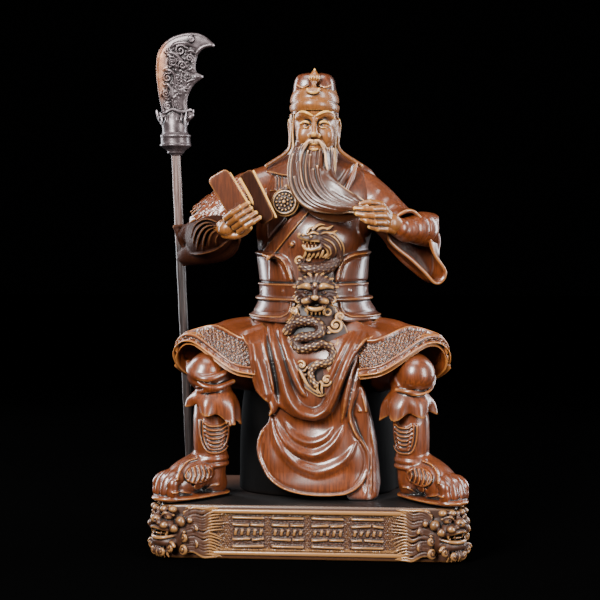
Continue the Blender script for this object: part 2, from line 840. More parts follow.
def tower(levels, sides=96, rows=60, ripple=None):
    """Rings of a standing form: levels [z, x, y, half width, half depth]."""
    rows_made = between(levels, rows)
    angle = np.linspace(0, 2 * np.pi, sides, endpoint=False)
    rings = []
    for k, (z, x, y, rx, ry) in enumerate(rows_made):
        grow = ripple(k / (rows - 1), angle) if ripple else 1.0
        rings.append(np.stack(
            [x + rx * np.sin(angle) * grow, y - ry * np.cos(angle) * grow, z + 0 * angle], 1,
        ))
    return rings


def head_piece():
    clay = Clay((-26, -38, 252), (29, 30, 330), 0.5)
    clay.ball((0.7, -4, 293), (16.9, 21.5, 25))
    clay.ball((MID, -10, 277), (13.8, 15, 14), soft=6)
    clay.limb([(MID, 0, 280, 15), (MID, 4, 262, 17), (MID, 6, 254, 19)], soft=4)
    for s in SIDES:
        clay.ball((MID + 8.4 * s, -18.8, 283.5), (6, 6.5, 7), soft=5)
        clay.limb(sided(
            s, [(2.6, -25.3, 297.4, 1.9), (8, -24.6, 299.6, 2.2), (14, -19, 297.4, 1.7)], MID,
        ), 2.5)
        clay.ball((MID + 7.4 * s, -28, 292), (5.2, 4.4, 3.1), soft=2.6, cut=True)
        clay.ball((MID + 7.2 * s, -20.5, 291.4), (4.2, 4.4, 4.0), soft=0.3)
        upper = [
            (3.1, -24.4, 291, 0.8), (5.2, -25.7, 293.2, 1.1), (8.6, -25.2, 293.5, 1.1),
            (12, -21.8, 291.2, 0.8),
        ]
        lower = [
            (3.4, -24.2, 290.6, 0.6), (6, -25.2, 289.1, 0.8), (9, -24.4, 289.2, 0.8),
            (11.6, -22, 290.8, 0.6),
        ]
        crease = [(3.6, -25.6, 294.4, 0.5), (7, -26.6, 296, 0.6), (11, -23.6, 295.2, 0.5)]
        clay.limb(sided(s, upper, MID), 0.5)
        clay.limb(sided(s, lower, MID), 0.5)
        clay.limb(sided(s, crease, MID), 0.6, cut=True)
        brow = [
            (1.8, -27.4, 298.2, 1.0), (6, -27.4, 300.4, 1.3), (10.5, -24.8, 301.2, 1.2),
            (15, -19, 299.4, 0.6),
        ]
        clay.limb(sided(s, brow, MID), 0.6)
        clay.ball((MID + 3.1 * s, -28.6, 282.8), (2.2, 2.8, 2.1), soft=1.2)
        clay.ball((MID + 1.9 * s, -31.2, 281.2), (0.9, 1.4, 0.8), soft=0.4, cut=True)
        clay.limb(sided(s, [(5, -27, 281.5, 0.5), (8.4, -24.2, 276, 0.6)], MID), 1.2, cut=True)
        ear = [
            (18.4, -6, 293, 1.4), (20, -3, 296, 1.5), (20.6, 1, 292, 1.6), (20, 1, 286, 1.6),
            (18.8, -3, 279, 2.3),
        ]
        clay.limb([(-0.5 + (x - 0.8) * s, y, z, r) for x, y, z, r in ear], 1.2)
        clay.ball((-0.5 + 17.4 * s, -1.5, 287), (2, 3.6, 7), soft=1.2)
        clay.ball((-0.5 + 19.4 * s, -3, 289), (1.2, 1.8, 4), soft=0.6, cut=True)
        for k in range(4):
            lock = [
                (15.2 - k * 0.4, -13 + k * 3.4, 304), (17.4, -11 + k * 3.2, 290),
                (17 + k * 0.3, -11 + k * 3.4, 272), (17.2, -14 + k * 3, 256),
            ]
            clay.limb([(0.2 + (x - 0.9) * s, y, z, 1.3) for x, y, z in lock], 0.3)
    clay.limb([(MID, -25.4, 297, 1.8), (MID, -28.4, 291, 2.0), (MID, -31.6, 284, 2.8)], 2.2)
    clay.ball((MID, -24.2, 274.4), (6.8, 4.6, 4.4), soft=3)
    clay.limb([(-3.6, -26.6, 275.6, 0.9), (MID, -29.2, 276.6, 1.3), (6.6, -26.6, 275.6, 0.9)], 0.8)
    clay.limb([(-2.8, -26.8, 272.8, 1.0), (MID, -28.9, 272.2, 1.7), (5.8, -26.8, 272.8, 1.0)], 0.8)
    clay.limb([(-3.8, -28, 274.5, 0.5), (MID, -30.6, 274.4, 0.5), (6.8, -28, 274.5, 0.5)], 0.5, cut=True)
    clay.ball((MID, -22, 264), (8, 7, 7), soft=3)
    clay.plane((0, 0, 254), (0, 0, -1))
    return cast(clay, "head", stain("skin"))


def cap_pieces():
    crown = Clay((-24, -32, 298), (27, 32, 341), 0.55)
    boxy = lambda t, a: 1 / (np.abs(np.sin(a)) ** 3.4 + np.abs(np.cos(a)) ** 3.4) ** (1 / 3.4)
    levels = [
        [300, -0.3, -1, 17.4, 21], [308, -0.3, 0, 17.4, 19], [314, -0.4, 0, 17.2, 17.6],
        [322, -0.3, 1, 16.6, 16.6], [328, -0.3, 1.5, 15.4, 15.4], [331.6, -0.3, 2, 12.6, 13],
        [333.2, -0.3, 2, 7, 7.6],
    ]
    crown.loft(tower(levels, 96, 40, boxy), 1.0)
    # A cleft that runs back from the finial, and a crescent pressed into each half
    crown.limb([
        (0.8, -19, 323, 4.6), (0.8, -15.4, 330, 4.4), (0.6, -6, 334.4, 3.2), (0.4, 12, 335.4, 2.6),
    ], 1.6, cut=True)
    for s in SIDES:
        x = 0.4 + 9 * s
        crown.limb([
            (x - 4.2 * s, -16.8, 325.4, 0.9), (x, -17.4, 323.4, 1.8), (x + 4.4 * s, -15.4, 325.8, 0.9),
        ], 0.8, cut=True)
        crown.limb([
            (x - 4.4 * s, -15.8, 322.4, 0.7), (x, -16.6, 320.8, 0.9), (x + 4.8 * s, -14.8, 323, 0.7),
        ], 0.8)
    crown = cast(crown, "cap_crown", stain("armour"))
    band = Clay((-26, -36, 299), (29, 32, 341), 0.5)
    levels = [
        [302.6, -0.2, -2, 18.4, 24.4], [307, -0.2, -2, 19.2, 25.4], [312, -0.2, -1.6, 18.9, 24.4],
        [319, -0.2, -1, 17.2, 21.4],
    ]
    band.loft(tower(levels, 96, 20), 0.6)
    # Two arched rolls, highest over the brow
    low_roll, high_roll, seam = [], [], []
    for a in np.radians(np.linspace(-180, 180, 61)):
        lift = 3.4 * max(math.cos(a), 0) ** 2.2
        low_roll.append((-0.2 + 16.2 * math.sin(a), -2 - 22.6 * math.cos(a), 305.0 + 0.8 * lift, 2.9))
        high_roll.append((-0.2 + 14.6 * math.sin(a), -1.4 - 20.6 * math.cos(a), 312.2 + 1.5 * lift, 3.4))
        seam.append((-0.2 + 19.3 * math.sin(a), -2 - 25.7 * math.cos(a), 308.4 + 1.0 * lift, 0.9))
    band.limb(low_roll, 3.0, steps=2)
    band.limb(high_roll, 3.0, steps=2)
    band.limb(seam, 0.3, cut=True, steps=2)
    # Ornament, stem and bud of the finial
    band.ball((0.6, -25.6, 317.6), (5.4, 2.6, 2.9), soft=0.5)
    band.limb([
        (-3.8, -26.6, 318.6, 1.1), (-2, -27.4, 316.8, 1.4), (0.6, -27.8, 316.2, 1.6),
        (3.2, -27.4, 316.8, 1.4), (5, -26.6, 318.6, 1.1),
    ], 0.5)
    band.limb([(0.8, -23.5, 319, 2.2), (0.8, -20.6, 323, 1.6), (0.8, -19.2, 325, 2.0)], 0.6)
    band.ball((0.9, -18, 328.6), (3.9, 3.7, 4.6), soft=0.6)
    band.limb([(0.9, -17.6, 331.6, 1.9), (1.0, -17, 335.2, 0.6)], 0.8)
    for k in range(7):
        a = math.radians(-90 + 30 * k)
        x, y = math.sin(a), -math.cos(a)
        rib = [
            (0.9 + 2.4 * x, -18 + 2.4 * y, 325, 0.5), (0.9 + 4.0 * x, -18 + 3.8 * y, 328.6, 0.7),
            (0.9 + 1.4 * x, -17.4 + 1.4 * y, 333.2, 0.4),
        ]
        band.limb(rib, 0.2)
    band.plane((0, 6, 310), (0, 1, 0.2))
    return crown, cast(band, "cap_band", stain("skin"))


def hood_piece():
    clay = Clay((-60, -30, 226), (60, 46, 322), 0.85)
    levels = [
        [318, -0.4, 9, 14, 15],
        [306, -0.4, 7, 18.6, 19],
        [282, -0.4, 8.5, 19.0, 19.5],
        [274, -0.4, 10, 20.6, 19],
        [268, 0, 11.5, 27, 19],
        [261, 0, 13, 39, 20],
        [255, 0, 14, 46, 21.5],
        [246, 0, 15, 50.5, 23.5],
        [236, 0, 15, 51.5, 25],
    ]
    drape = lambda t, a: 1 + 0.02 * np.cos(a * 9) * (1 - np.cos(a)) * 0.5
    clay.loft(tower(levels, 110, 60, drape), 1.0)
    clay.limb([(-18.4, -5, 300, 1.4), (-19, -8, 281, 1.4), (-21.4, -9, 271, 1.6), (-38, -5, 260, 1.8)], 1.2)
    clay.limb([(17.6, -5, 300, 1.4), (18, -8, 281, 1.4), (21.4, -9, 271, 1.6), (37, -5, 260, 1.8)], 1.2)
    clay.ball((MID, -16, 292), (18.8, 22, 30), soft=1.5, cut=True)
    return cast(clay, "hood_cloth", stain("armour"))


BEARD_LEFT = [
    (-15.5, -17, 277), (-18.8, -27, 259), (-16, -36.5, 241), (-5.5, -43.5, 228), (13, -47.5, 222.5),
    (38, -50, 222.5),
]
BEARD_RIGHT = [
    (16.4, -16, 276), (16.6, -28, 258), (21, -36.5, 246), (29, -43, 239), (38, -47, 234), (46, -49.6, 229),
]


def beard_piece(strands=24):
    chance = np.random.default_rng(7)
    clay = Clay((-28, -66, 214), (54, -6, 296), 0.45)
    left, right = smooth_line(BEARD_LEFT, 6), smooth_line(BEARD_RIGHT, 6)
    along = np.linspace(0, 1, len(left))
    for layer in range(2):
        count = strands if layer == 0 else strands // 2
        for i in range(count):
            t = (i + 0.5) / count + (0 if layer == 0 else 0.3 / count)
            wave = chance.uniform(-1, 1, 3)
            weave = 0.018 * wave[0] * np.sin(along * 7 + wave[1] * 3)
            s = np.clip(t + weave, 0, 1)[:, None]
            line = left + (right - left) * s
            swell = (8.5 * math.sin(math.pi * t) ** 0.8) * (1 - 0.62 * along)
            line[:, 1] -= swell + 0.6 + (0.7 * wave[2] if layer == 0 else 1.3)
            late = chance.integers(2, 9) if layer else 0
            start = int(round(4 * (1 - math.sin(math.pi * t)) * 0.3 + late))
            end = len(line) - int(chance.integers(0, 4))
            apart = np.linalg.norm(right - left, axis=1) / count
            radius = np.clip(apart * (0.78 if layer == 0 else 0.45), 0.65, 1.6)
            radius = radius * (0.35 + 0.65 * np.clip(along * 7 + 0.3, 0, 1))
            if layer:
                radius = radius * np.clip((1.02 - along) * 5, 0.2, 1)
            stations = np.hstack([line, radius[:, None]])[start:end]
            clay.limb(stations, 0.12, steps=2)
    body = []
    for k in range(0, len(left), 3):
        middle = (left[k] + right[k]) / 2
        half = np.linalg.norm(right[k] - left[k]) / 2
        reach = max(half * 0.93, 2.6)
        thick = 7.4 * (1 - 0.7 * along[k]) + 0.3
        body.append((middle[0], middle[1] + 2.2, middle[2], reach, min(thick / reach, 1.0)))
    clay.limb(body, 1.0, across=(0, 1, 0.3))
    # Moustache locks that frame the chin
    for s in SIDES:
        for k in range(4):
            off = k * 1.15
            lock = [
                (MID + 0.9 * s, -31.4 + 0.2 * k, 279 - 0.4 * off, 0.7),
                (MID + (4.6 + 0.6 * off) * s, -30.8 + 0.3 * k, 277.8 - 0.5 * off, 1.2),
                (MID + (8.6 + 0.6 * off) * s, -30 + 0.5 * k, 270.5 - 0.7 * off, 1.25),
                (MID + (10.2 + 0.5 * off) * s, -35 + 0.5 * k, 260 - off, 1.15),
                (MID + (10.6 + 0.5 * off) * s + 2, -41.5 + 0.6 * k, 249 - off, 0.9),
                (MID + (10.4 + 0.5 * off) * s + 4.5, -46 + 0.6 * k, 241 - off, 0.4),
            ]
            clay.limb(lock, 0.25)
    clay.limb([
        (MID, -28.8, 269.6, 1.2), (MID, -31, 266, 1.4), (MID + 0.4, -36, 257, 1.0),
        (MID + 1.4, -42, 247, 0.4),
    ], 0.3)
    for s in SIDES:
        clay.limb(sided(s, [(1.3, -28.8, 269.4, 1.0), (2.2, -32, 263, 1.2), (2.6, -39, 251, 0.5)], MID), 0.3)
    return cast(clay, "beard", stain("hair"), smoothing=1)


TORSO = [
    [100, 0, 16, 50, 40],
    [140, -0.6, 11, 44.4, 40],
    [161, -1.4, 6, 41, 40],
    [194, -2, 5, 44, 40],
    [210, -1, 6, 47, 38],
    [226, 0, 8, 49, 35],
    [240, 0, 9, 50, 31],
    [254, 0, 10, 43, 25],
    [264, 0, 9, 27, 19],
    [270, 0, 6, 15, 14],
]


def torso_at(z):
    """The torso's middle and half sizes at a height."""
    table = np.array(TORSO, float)
    return [np.interp(z, table[:, 0], table[:, k]) for k in range(1, 5)]


def on_torso(x, z):
    """The depth of the torso's face at a place seen from the front."""
    cx, cy, rx, ry = torso_at(z)
    share = np.clip((x - cx) / rx, -0.999, 0.999)
    return cy - ry * np.sqrt(1 - share**2)


def wrap_emboss(clay, relief, centre, radii, back=200):
    """Raises the skin by a relief that is wrapped round an upright axis."""
    spans = clay.spans((-999, -999, relief.z[0, 0]), (999, back, relief.z[0, -1]))
    x, y, z = clay.places(spans)
    round_it = np.arctan2((x - centre[0]) / radii[0], -(y - centre[1]) / radii[1]) * radii[0]
    u = np.broadcast_to(round_it, clay.form[spans].shape)
    v = np.broadcast_to(z, clay.form[spans].shape)
    close = np.abs(clay.form[spans]) < FAR * 0.95
    raised = np.zeros(u.shape, np.float32)
    raised[close] = relief.sample(u[close], v[close])
    clay.form[spans] -= raised


BELLY = ((4, -13, 203), (33, 27, 27))


def chest_y(x, z):
    """The depth of the chest's face, with the round plate over the belly."""
    (cx, cy, cz), (rx, ry, rz) = BELLY
    inside = np.clip(1 - ((x - cx) / rx) ** 2 - ((z - cz) / rz) ** 2, 0, 1)
    return min(on_torso(x, z), cy - ry * math.sqrt(inside)) if inside > 0 else on_torso(x, z)


def tasset(angles, low_at):
    """Rings of a flared waist plate between two angles, low_at giving its lower edge."""
    rings = []
    for degrees in np.linspace(*angles, 60):
        a, low = math.radians(degrees), low_at(degrees)
        section = [
            (154, -4), (154.5, 2), (150, 3.6), (low + 5, 7.2), (low + 1.6, 9), (low, 8), (low - 0.3, 4),
            (low + 2, -4),
        ]
        ring = []
        for z, out in section:
            cx, cy, rx, ry = torso_at(z)
            ring.append((cx + (rx + out) * math.sin(a), cy - (ry + out) * math.cos(a), z))
        rings.append(ring)
    return rings


# Both in degrees round the torso and in millimetres up, which are nearly alike on it
WAIST_PLATE_CORNER = 10


def rounded_low(base, inner):
    """The lower edge of a waist plate, which turns up in a quarter round at its inner end."""

    def low_at(degrees):
        into = max(WAIST_PLATE_CORNER - abs(degrees - inner), 0) / WAIST_PLATE_CORNER
        return base + WAIST_PLATE_CORNER * (1 - math.sqrt(1 - into**2))

    return low_at


def torso_piece():
    clay = Clay((-62, -54, 128), (62, 26, 274), 0.7)
    clay.loft(tower(TORSO, 120, 90))
    clay.ball(*BELLY, soft=4)
    clay.loft(tasset((-108, -15), rounded_low(136.8, -15)), 0.4)
    clay.loft(tasset((22, 108), rounded_low(137.4, 22)), 0.4)
    relief = Relief(np.arange(-118, 118.5, 0.5), np.arange(128, 268.5, 0.5))
    guards = [
        [
            (-117, 168.6), (-117, 193), (-54, 192.3), (-31, 191.4), (-24, 190), (-19.3, 187.2),
            (-16.4, 182), (-14.2, 175.5), (-12.6, 168.6),
        ],
        [
            (117, 168.6), (117, 193.5), (60, 192.8), (36, 191.6), (28, 190), (22.6, 186.8), (20, 181.5),
            (18.4, 175), (17.2, 168.6),
        ],
    ]
    for outline in guards:
        relief.patch(outline, 2.0, 1.0, steps=1)
        s = np.sign(outline[0][0])
        edge = outline[1:]
        inset = [(x + 1.6 * s, z - 1.7) for x, z in edge]
        relief.stroke(inset, 1.9, 0.9, steps=3, add=True)
        relief.stroke([(x + 4.8 * s, z - 4.6) for x, z in edge], 0.9, -0.55, steps=3, add=True)
    relief.patch([(-117, 153.4), (-117, 167.4), (117, 168), (117, 154)], 2.7, 1.0, steps=1)
    for s in SIDES:
        relief.stroke(
            [(-117, 154.9 + 5.8 + 5.6 * s), (117, 155.5 + 5.8 + 5.6 * s)], 1.3, 0.6, steps=1, add=True,
        )
    for u, z in ((-22.6, 161.2), (32, 162.0), (-52, 161), (58, 162.2)):
        relief.bead(u, z, 2.6, 3.4)
    for path in (
        [(-90, 141.6), (-32, 141.2), (-20.5, 142.6), (-16.6, 146.4), (-16, 152.5)],
        [(90, 142), (38, 141.6), (27.2, 143.2), (23.4, 147), (22.6, 153)],
    ):
        relief.stroke(path, 1.3, 1.6, steps=4)
        relief.stroke([(x, z + 3.2 - 0.5 * (z > 143)) for x, z in path[:3]], 0.9, -0.8, steps=4, add=True)
    wrap_emboss(clay, relief, (0, 6), (45, 40), 30)
    front = Relief.over(clay)
    # Cape over the shoulder, with a rolled hem
    hem = [
        (-64, 255.2), (-52.7, 256.4), (-43, 255.8), (-33.1, 254.2), (-26, 252.4), (-19.7, 251.7),
        (-12, 252.4),
    ]
    front.patch([(-64, 275)] + hem + [(-10, 275)], 2.7, 1.0, steps=1)
    front.stroke(hem, 1.5, 1.1, add=True)
    for x in (-29.8, -27.2, -24.6):
        front.stroke([(x - 0.6, 252), (x, 240)], 1.1, 1.3, steps=2)
    front.stroke([(-34, 240), (-20, 241.5), (-12, 240)], 1.3, 1.2)
    front.stroke([(-40, 251), (-38, 228), (-36, 206), (-35, 194)], 1.2, 1.0)
    # Strap with corded edges, from the guard up to the beard
    out = np.array([-0.762, 0.647])
    foot, top = np.array([-37.0, 188.6]), np.array([3.0, 235.8])
    front.patch([foot - out * 4.4, foot + out * 4.4, top + out * 4.4, top - out * 4.4], 1.8, 1.2, steps=1)
    for side in (-3.9, 3.9):
        front.stroke([foot + out * side, top + out * side], 1.0, 0.5, steps=1, add=True)
    front.stroke([foot + out * 7.0, top + out * 7.0], 1.8, 1.0, steps=1)
    front.bead(-15.8, 198.1, 2.6, 2.4)
    # Lapels of the robe on the other side
    front.stroke([(30, 262), (25, 252), (19, 243), (16, 236)], 3.0, 1.6)
    front.stroke([(33, 262), (29, 251), (22, 241), (19, 234)], 1.2, -0.9, add=True)
    front.stroke([(40, 200), (36, 212), (38, 226)], 2.4, 1.2)
    clay.emboss(front, (-60, 4))
    clay.plane((0, 11, 0), (0, 1, 0))
    clay.plane((0, 0, 131), (0, 0, -1))
    return cast(clay, "torso_armour", stain("armour"))


def ring_of(centre, radius, normal, count=24):
    """Points of a circle, closed."""
    n = np.array(normal, float) / np.linalg.norm(normal)
    side = np.cross(n, (0, 0, 1) if abs(n[2]) < 0.9 else (0, 1, 0))
    side /= np.linalg.norm(side)
    up = np.cross(side, n)
    angle = np.linspace(0, 2 * np.pi, count + 1)[:, None]
    return np.array(centre) + radius * (np.cos(angle) * side + np.sin(angle) * up)


def medallion_piece():
    clay = Clay((-34, -46, 218), (-8, -22, 246), 0.42)
    centre = np.array([-20.7, -32.5, 230.8])
    face = np.array([-0.14, -1, 0.1])
    face /= np.linalg.norm(face)
    turn = (-6, 0, -8)
    clay.ball(centre, (9.6, 3.6, 9.6), turn, 0.4)
    clay.ball(centre, (11.2, 2.0, 11.2), turn, 0.4)
    clay.limb([(*p, 1.0) for p in ring_of(centre + face * 2.2, 8.7, face)], 0.3, steps=1)
    for p in ring_of(centre + face * 3.0, 6.3, face, 14)[:-1]:
        clay.ball(p, (1.05, 1.05, 1.05), soft=0.2)
    for p in ring_of(centre + face * 3.7, 3.1, face, 7)[:-1]:
        clay.ball(p, (1.1, 1.1, 1.1), soft=0.3)
    clay.ball(centre + face * 4.2, (1.7, 1.7, 1.7), soft=0.2)
    clay.ball((-19.7, -31, 241.2), (3.4, 2.8, 2.0), soft=0.5)
    clay.ball((-20, -31, 243.4), (1.6, 2, 1.4), soft=0.5)
    return cast(clay, "chest_medallion", stain("relief"), smoothing=1)


def chest_limb(clay, stations, soft=0.35, **more):
    """A limb on the chest: stations [x, z, radius, distance out]."""
    clay.limb([(x, chest_y(x, z) - out, z, r) for x, z, r, out in stations], soft, **more)


def spiral_line(x, z, radius, turns, start, spin, y_at, out, thick):
    """Stations of a limb that winds in to a centre on a face."""
    made = []
    for t in np.linspace(0, 1, int(10 * turns) + 2):
        angle = math.radians(start) + spin * 2 * math.pi * turns * t
        r = radius * (1 - 0.9 * t)
        px, pz = x + r * math.cos(angle), z + r * math.sin(angle)
        made.append((px, y_at(px, pz) - out - 0.8 * t, pz, thick * (1 - 0.3 * t)))
    return made


def chest_dragon_piece():
    clay = Clay((-17, -56, 170), (30, -26, 218), 0.42)
    scaly = lambda s, q: scales(s, q, 3.0, 1.3)
    chest_limb(clay, [
        (21, 193, 2.4, 0.6), (20, 187, 3.4, 1.2), (14, 181.4, 4.2, 1.6), (6, 178.6, 4.6, 1.6),
        (-2, 178.8, 4.4, 1.4), (-7, 180.4, 3.2, 0.8),
    ], across=(0, 1, 0), pattern=scaly)
    clay.limb(spiral_line(-9.8, 185.2, 4.2, 1.5, -60, 1, chest_y, 0.9, 1.25), 0.3, steps=2)
    clay.limb(spiral_line(-2.6, 186.6, 2.8, 1.3, 200, -1, chest_y, 1.6, 1.0), 0.3, steps=2)
    # Mane in nested locks
    for k in range(7):
        g = k * 1.9 - 1.9
        chest_limb(clay, [
            (9 - g * 0.3, 206.6 - g * 0.8, 0.9, 3.0),
            (16.5 - g * 0.6, 204.4 - g * 0.9, 1.2, 2.6 + 0.5 * (k % 2)),
            (21.4 - g * 0.9, 199 - g * 0.5, 1.25, 2.8 + 0.5 * (k % 2)),
            (22.6 - g, 192 - g * 0.1, 1.2, 2.6 + 0.5 * (k % 2)),
            (19.4 - g * 1.1, 186 + g * 0.25, 0.8, 2.4),
        ], 0.1)
    # Horns, brow and crest
    chest_limb(clay, [(4, 207, 1.9, 3), (8.5, 210.4, 1.6, 3), (12.5, 210.2, 1.3, 2.8), (16.6, 212.6, 0.6, 2)])
    chest_limb(clay, [
        (5, 204.8, 1.8, 3.4), (10.5, 207.4, 1.5, 3.2), (15.5, 206.8, 1.2, 2.8), (19.8, 208.8, 0.5, 2),
    ])
    chest_limb(clay, [
        (1.5, 208.2, 1.5, 2.6), (3, 211.4, 1.3, 2.6), (6.8, 213.6, 0.9, 2.2), (10.6, 213.4, 0.4, 2),
    ])
    chest_limb(clay, [(-2.5, 207.2, 1.3, 2.6), (-1.6, 210, 1.0, 2.4), (1.2, 212, 0.5, 2)])
    # Skull, snout and jaws
    clay.ball((3.2, chest_y(3, 202) - 2.2, 202.6), (5.6, 3.6, 4.6), soft=0.5)
    chest_limb(clay, [
        (4, 203.2, 3.0, 2.4), (-1.5, 202.8, 2.6, 3), (-6, 203.6, 2.1, 3), (-9, 204.8, 1.7, 2.6),
    ])
    chest_limb(clay, [(5.5, 206.4, 1.2, 4.6), (2, 207.2, 1.4, 4.8), (-1.6, 205.8, 1.1, 4.6)])
    clay.ball((0.6, chest_y(0, 204) - 5.4, 204.4), (1.4, 1.2, 1.2), soft=0.1)
    clay.ball((-8.8, chest_y(-8, 205) - 4, 206), (1.6, 1.4, 1.4), soft=0.3)
    clay.ball((-5.6, chest_y(-5, 205) - 4.6, 205.8), (1.3, 1.2, 1.2), soft=0.3)
    clay.ball((2.6, chest_y(2, 198) - 2.4, 198.9), (6.0, 4.2, 1.9), (0, 4, 0), soft=0.5, cut=True)
    chest_limb(clay, [
        (8, 198, 1.8, 2.2), (6.4, 195.6, 2.3, 2.4), (1, 194.2, 2.0, 2.8), (-3.8, 194.8, 1.5, 3),
        (-6.2, 197.4, 1.0, 3),
    ])
    for x, z, lean in ((-5.6, 200.6, -0.3), (-2.8, 200.1, 0), (0, 199.9, 0), (2.8, 200, 0.2)):
        chest_limb(clay, [(x, z + 1, 0.7, 3.2), (x + lean, z - 1.5, 0.3, 3)], 0.1)
    for x, z in ((-4.4, 197.6), (-1.6, 197), (1.2, 196.8), (4, 197.2)):
        chest_limb(clay, [(x, z - 1.2, 0.7, 3.2), (x, z + 1.1, 0.3, 3)], 0.1)
    for k in range(5):
        x = -4.6 + 3.2 * k
        chest_limb(clay, [
            (x + 1.2, 193.4, 1.1, 3.0), (x + 0.2, 190.6, 1.25, 3.0), (x - 1.8, 187.6, 0.5, 2.4),
        ], 0.1)
    return cast(clay, "chest_dragon", stain("relief"), smoothing=1)


def belt_lion_piece():
    clay = Clay((-20, -60, 139), (30, -28, 185), 0.45)
    cx, face, big = 3.9, -43.4, 1.2

    def at(x, out, z):
        return (cx + big * x, face - big * out, 161.6 + big * (z - 161.5))

    def limb(stations, soft=0.3, **more):
        clay.limb([(*at(x, out, z), r * big) for x, out, z, r in stations], soft, **more)

    def ball(x, out, z, radii, turn=(0, 0, 0), **more):
        clay.ball(at(x, out, z), [r * big for r in radii], turn, **more)

    ball(0, -4.6, 161.5, (12.0, 8.6, 10.6), soft=0.5)
    for k in range(19):
        a = math.radians(-128 + 256 * k / 18)
        x, z = math.sin(a), math.cos(a)
        bend = (0.4 if x >= 0 else -0.4) * (1 if k % 2 else 0.6)
        far = 13.4 if k % 2 else 15.0
        limb([
            (7.4 * x, 1.4, 161.5 + 7.4 * z * 0.92, 1.9),
            (11 * (x + bend * 0.2 * z), -0.4, 161.5 + 11 * (z - bend * 0.2 * x) * 0.92, 1.8),
            (far * (x + bend * z * 0.35), -2.6, 161.5 + far * (z - bend * x * 0.35) * 0.84, 0.6),
        ], 0.2, steps=4)
    for s in SIDES:
        ball(5.7 * s, 2.2, 161.8, (2.5, 2.3, 2.1), soft=0.2)
        ball(5.7 * s, 4.4, 161.4, (0.6, 0.7, 0.6), soft=0.15, cut=True)
        limb(sided(s, [(1.2, 4.2, 163.6, 1.7), (5.4, 4.6, 165.4, 2.3), (10.6, 1.8, 164.6, 1.3)]), 0.3)
        limb(sided(s, [(3, 3, 159.2, 0.9), (6.6, 3, 158.8, 1.0), (10, 1.2, 161, 0.7)]), 0.3)
        ball(5.0 * s, 3.4, 156.4, (4.1, 3.4, 2.8), (0, 18 * s, 0), soft=0.4)
        ball(2.8 * s, 5.0, 158.2, (1.9, 1.7, 1.5), soft=0.4)
        limb(sided(s, [(5.0, 3.6, 153.8, 0.9), (4.6, 4.0, 151.2, 0.3)]), 0.1)
        clay.limb(
            spiral_line(cx + 13 * s, 155.4, 2.8, 1.2, 90, -s, lambda x, z: face + 0.4, 1.2, 1.1),
            0.2,
            steps=2,
        )
    ball(0, 4.2, 165.6, (2.3, 2.2, 2.3), soft=0.3)
    limb([(0, 4, 163, 1.6), (0, 5.4, 159.6, 1.8)], 0.6)
    ball(0, 5.8, 158.2, (2.9, 2.4, 2.1), soft=0.5)
    limb([
        (-8, 1, 155, 1.1), (-4, 3, 151.4, 1.4), (0, 3.6, 150.4, 1.5), (4, 3, 151.4, 1.4), (8, 1, 155, 1.1),
    ], 0.3)
    ball(0, 2.4, 153.4, (5.2, 2.6, 1.3), soft=0.3, cut=True)
    for k in range(5):
        x = -5 + 2.5 * k
        limb([(x, 1, 149.8, 1.2), (x * 1.05, 0, 146.8, 0.5)], 0.3)
    return cast(clay, "belt_lion", stain("relief"), smoothing=1)


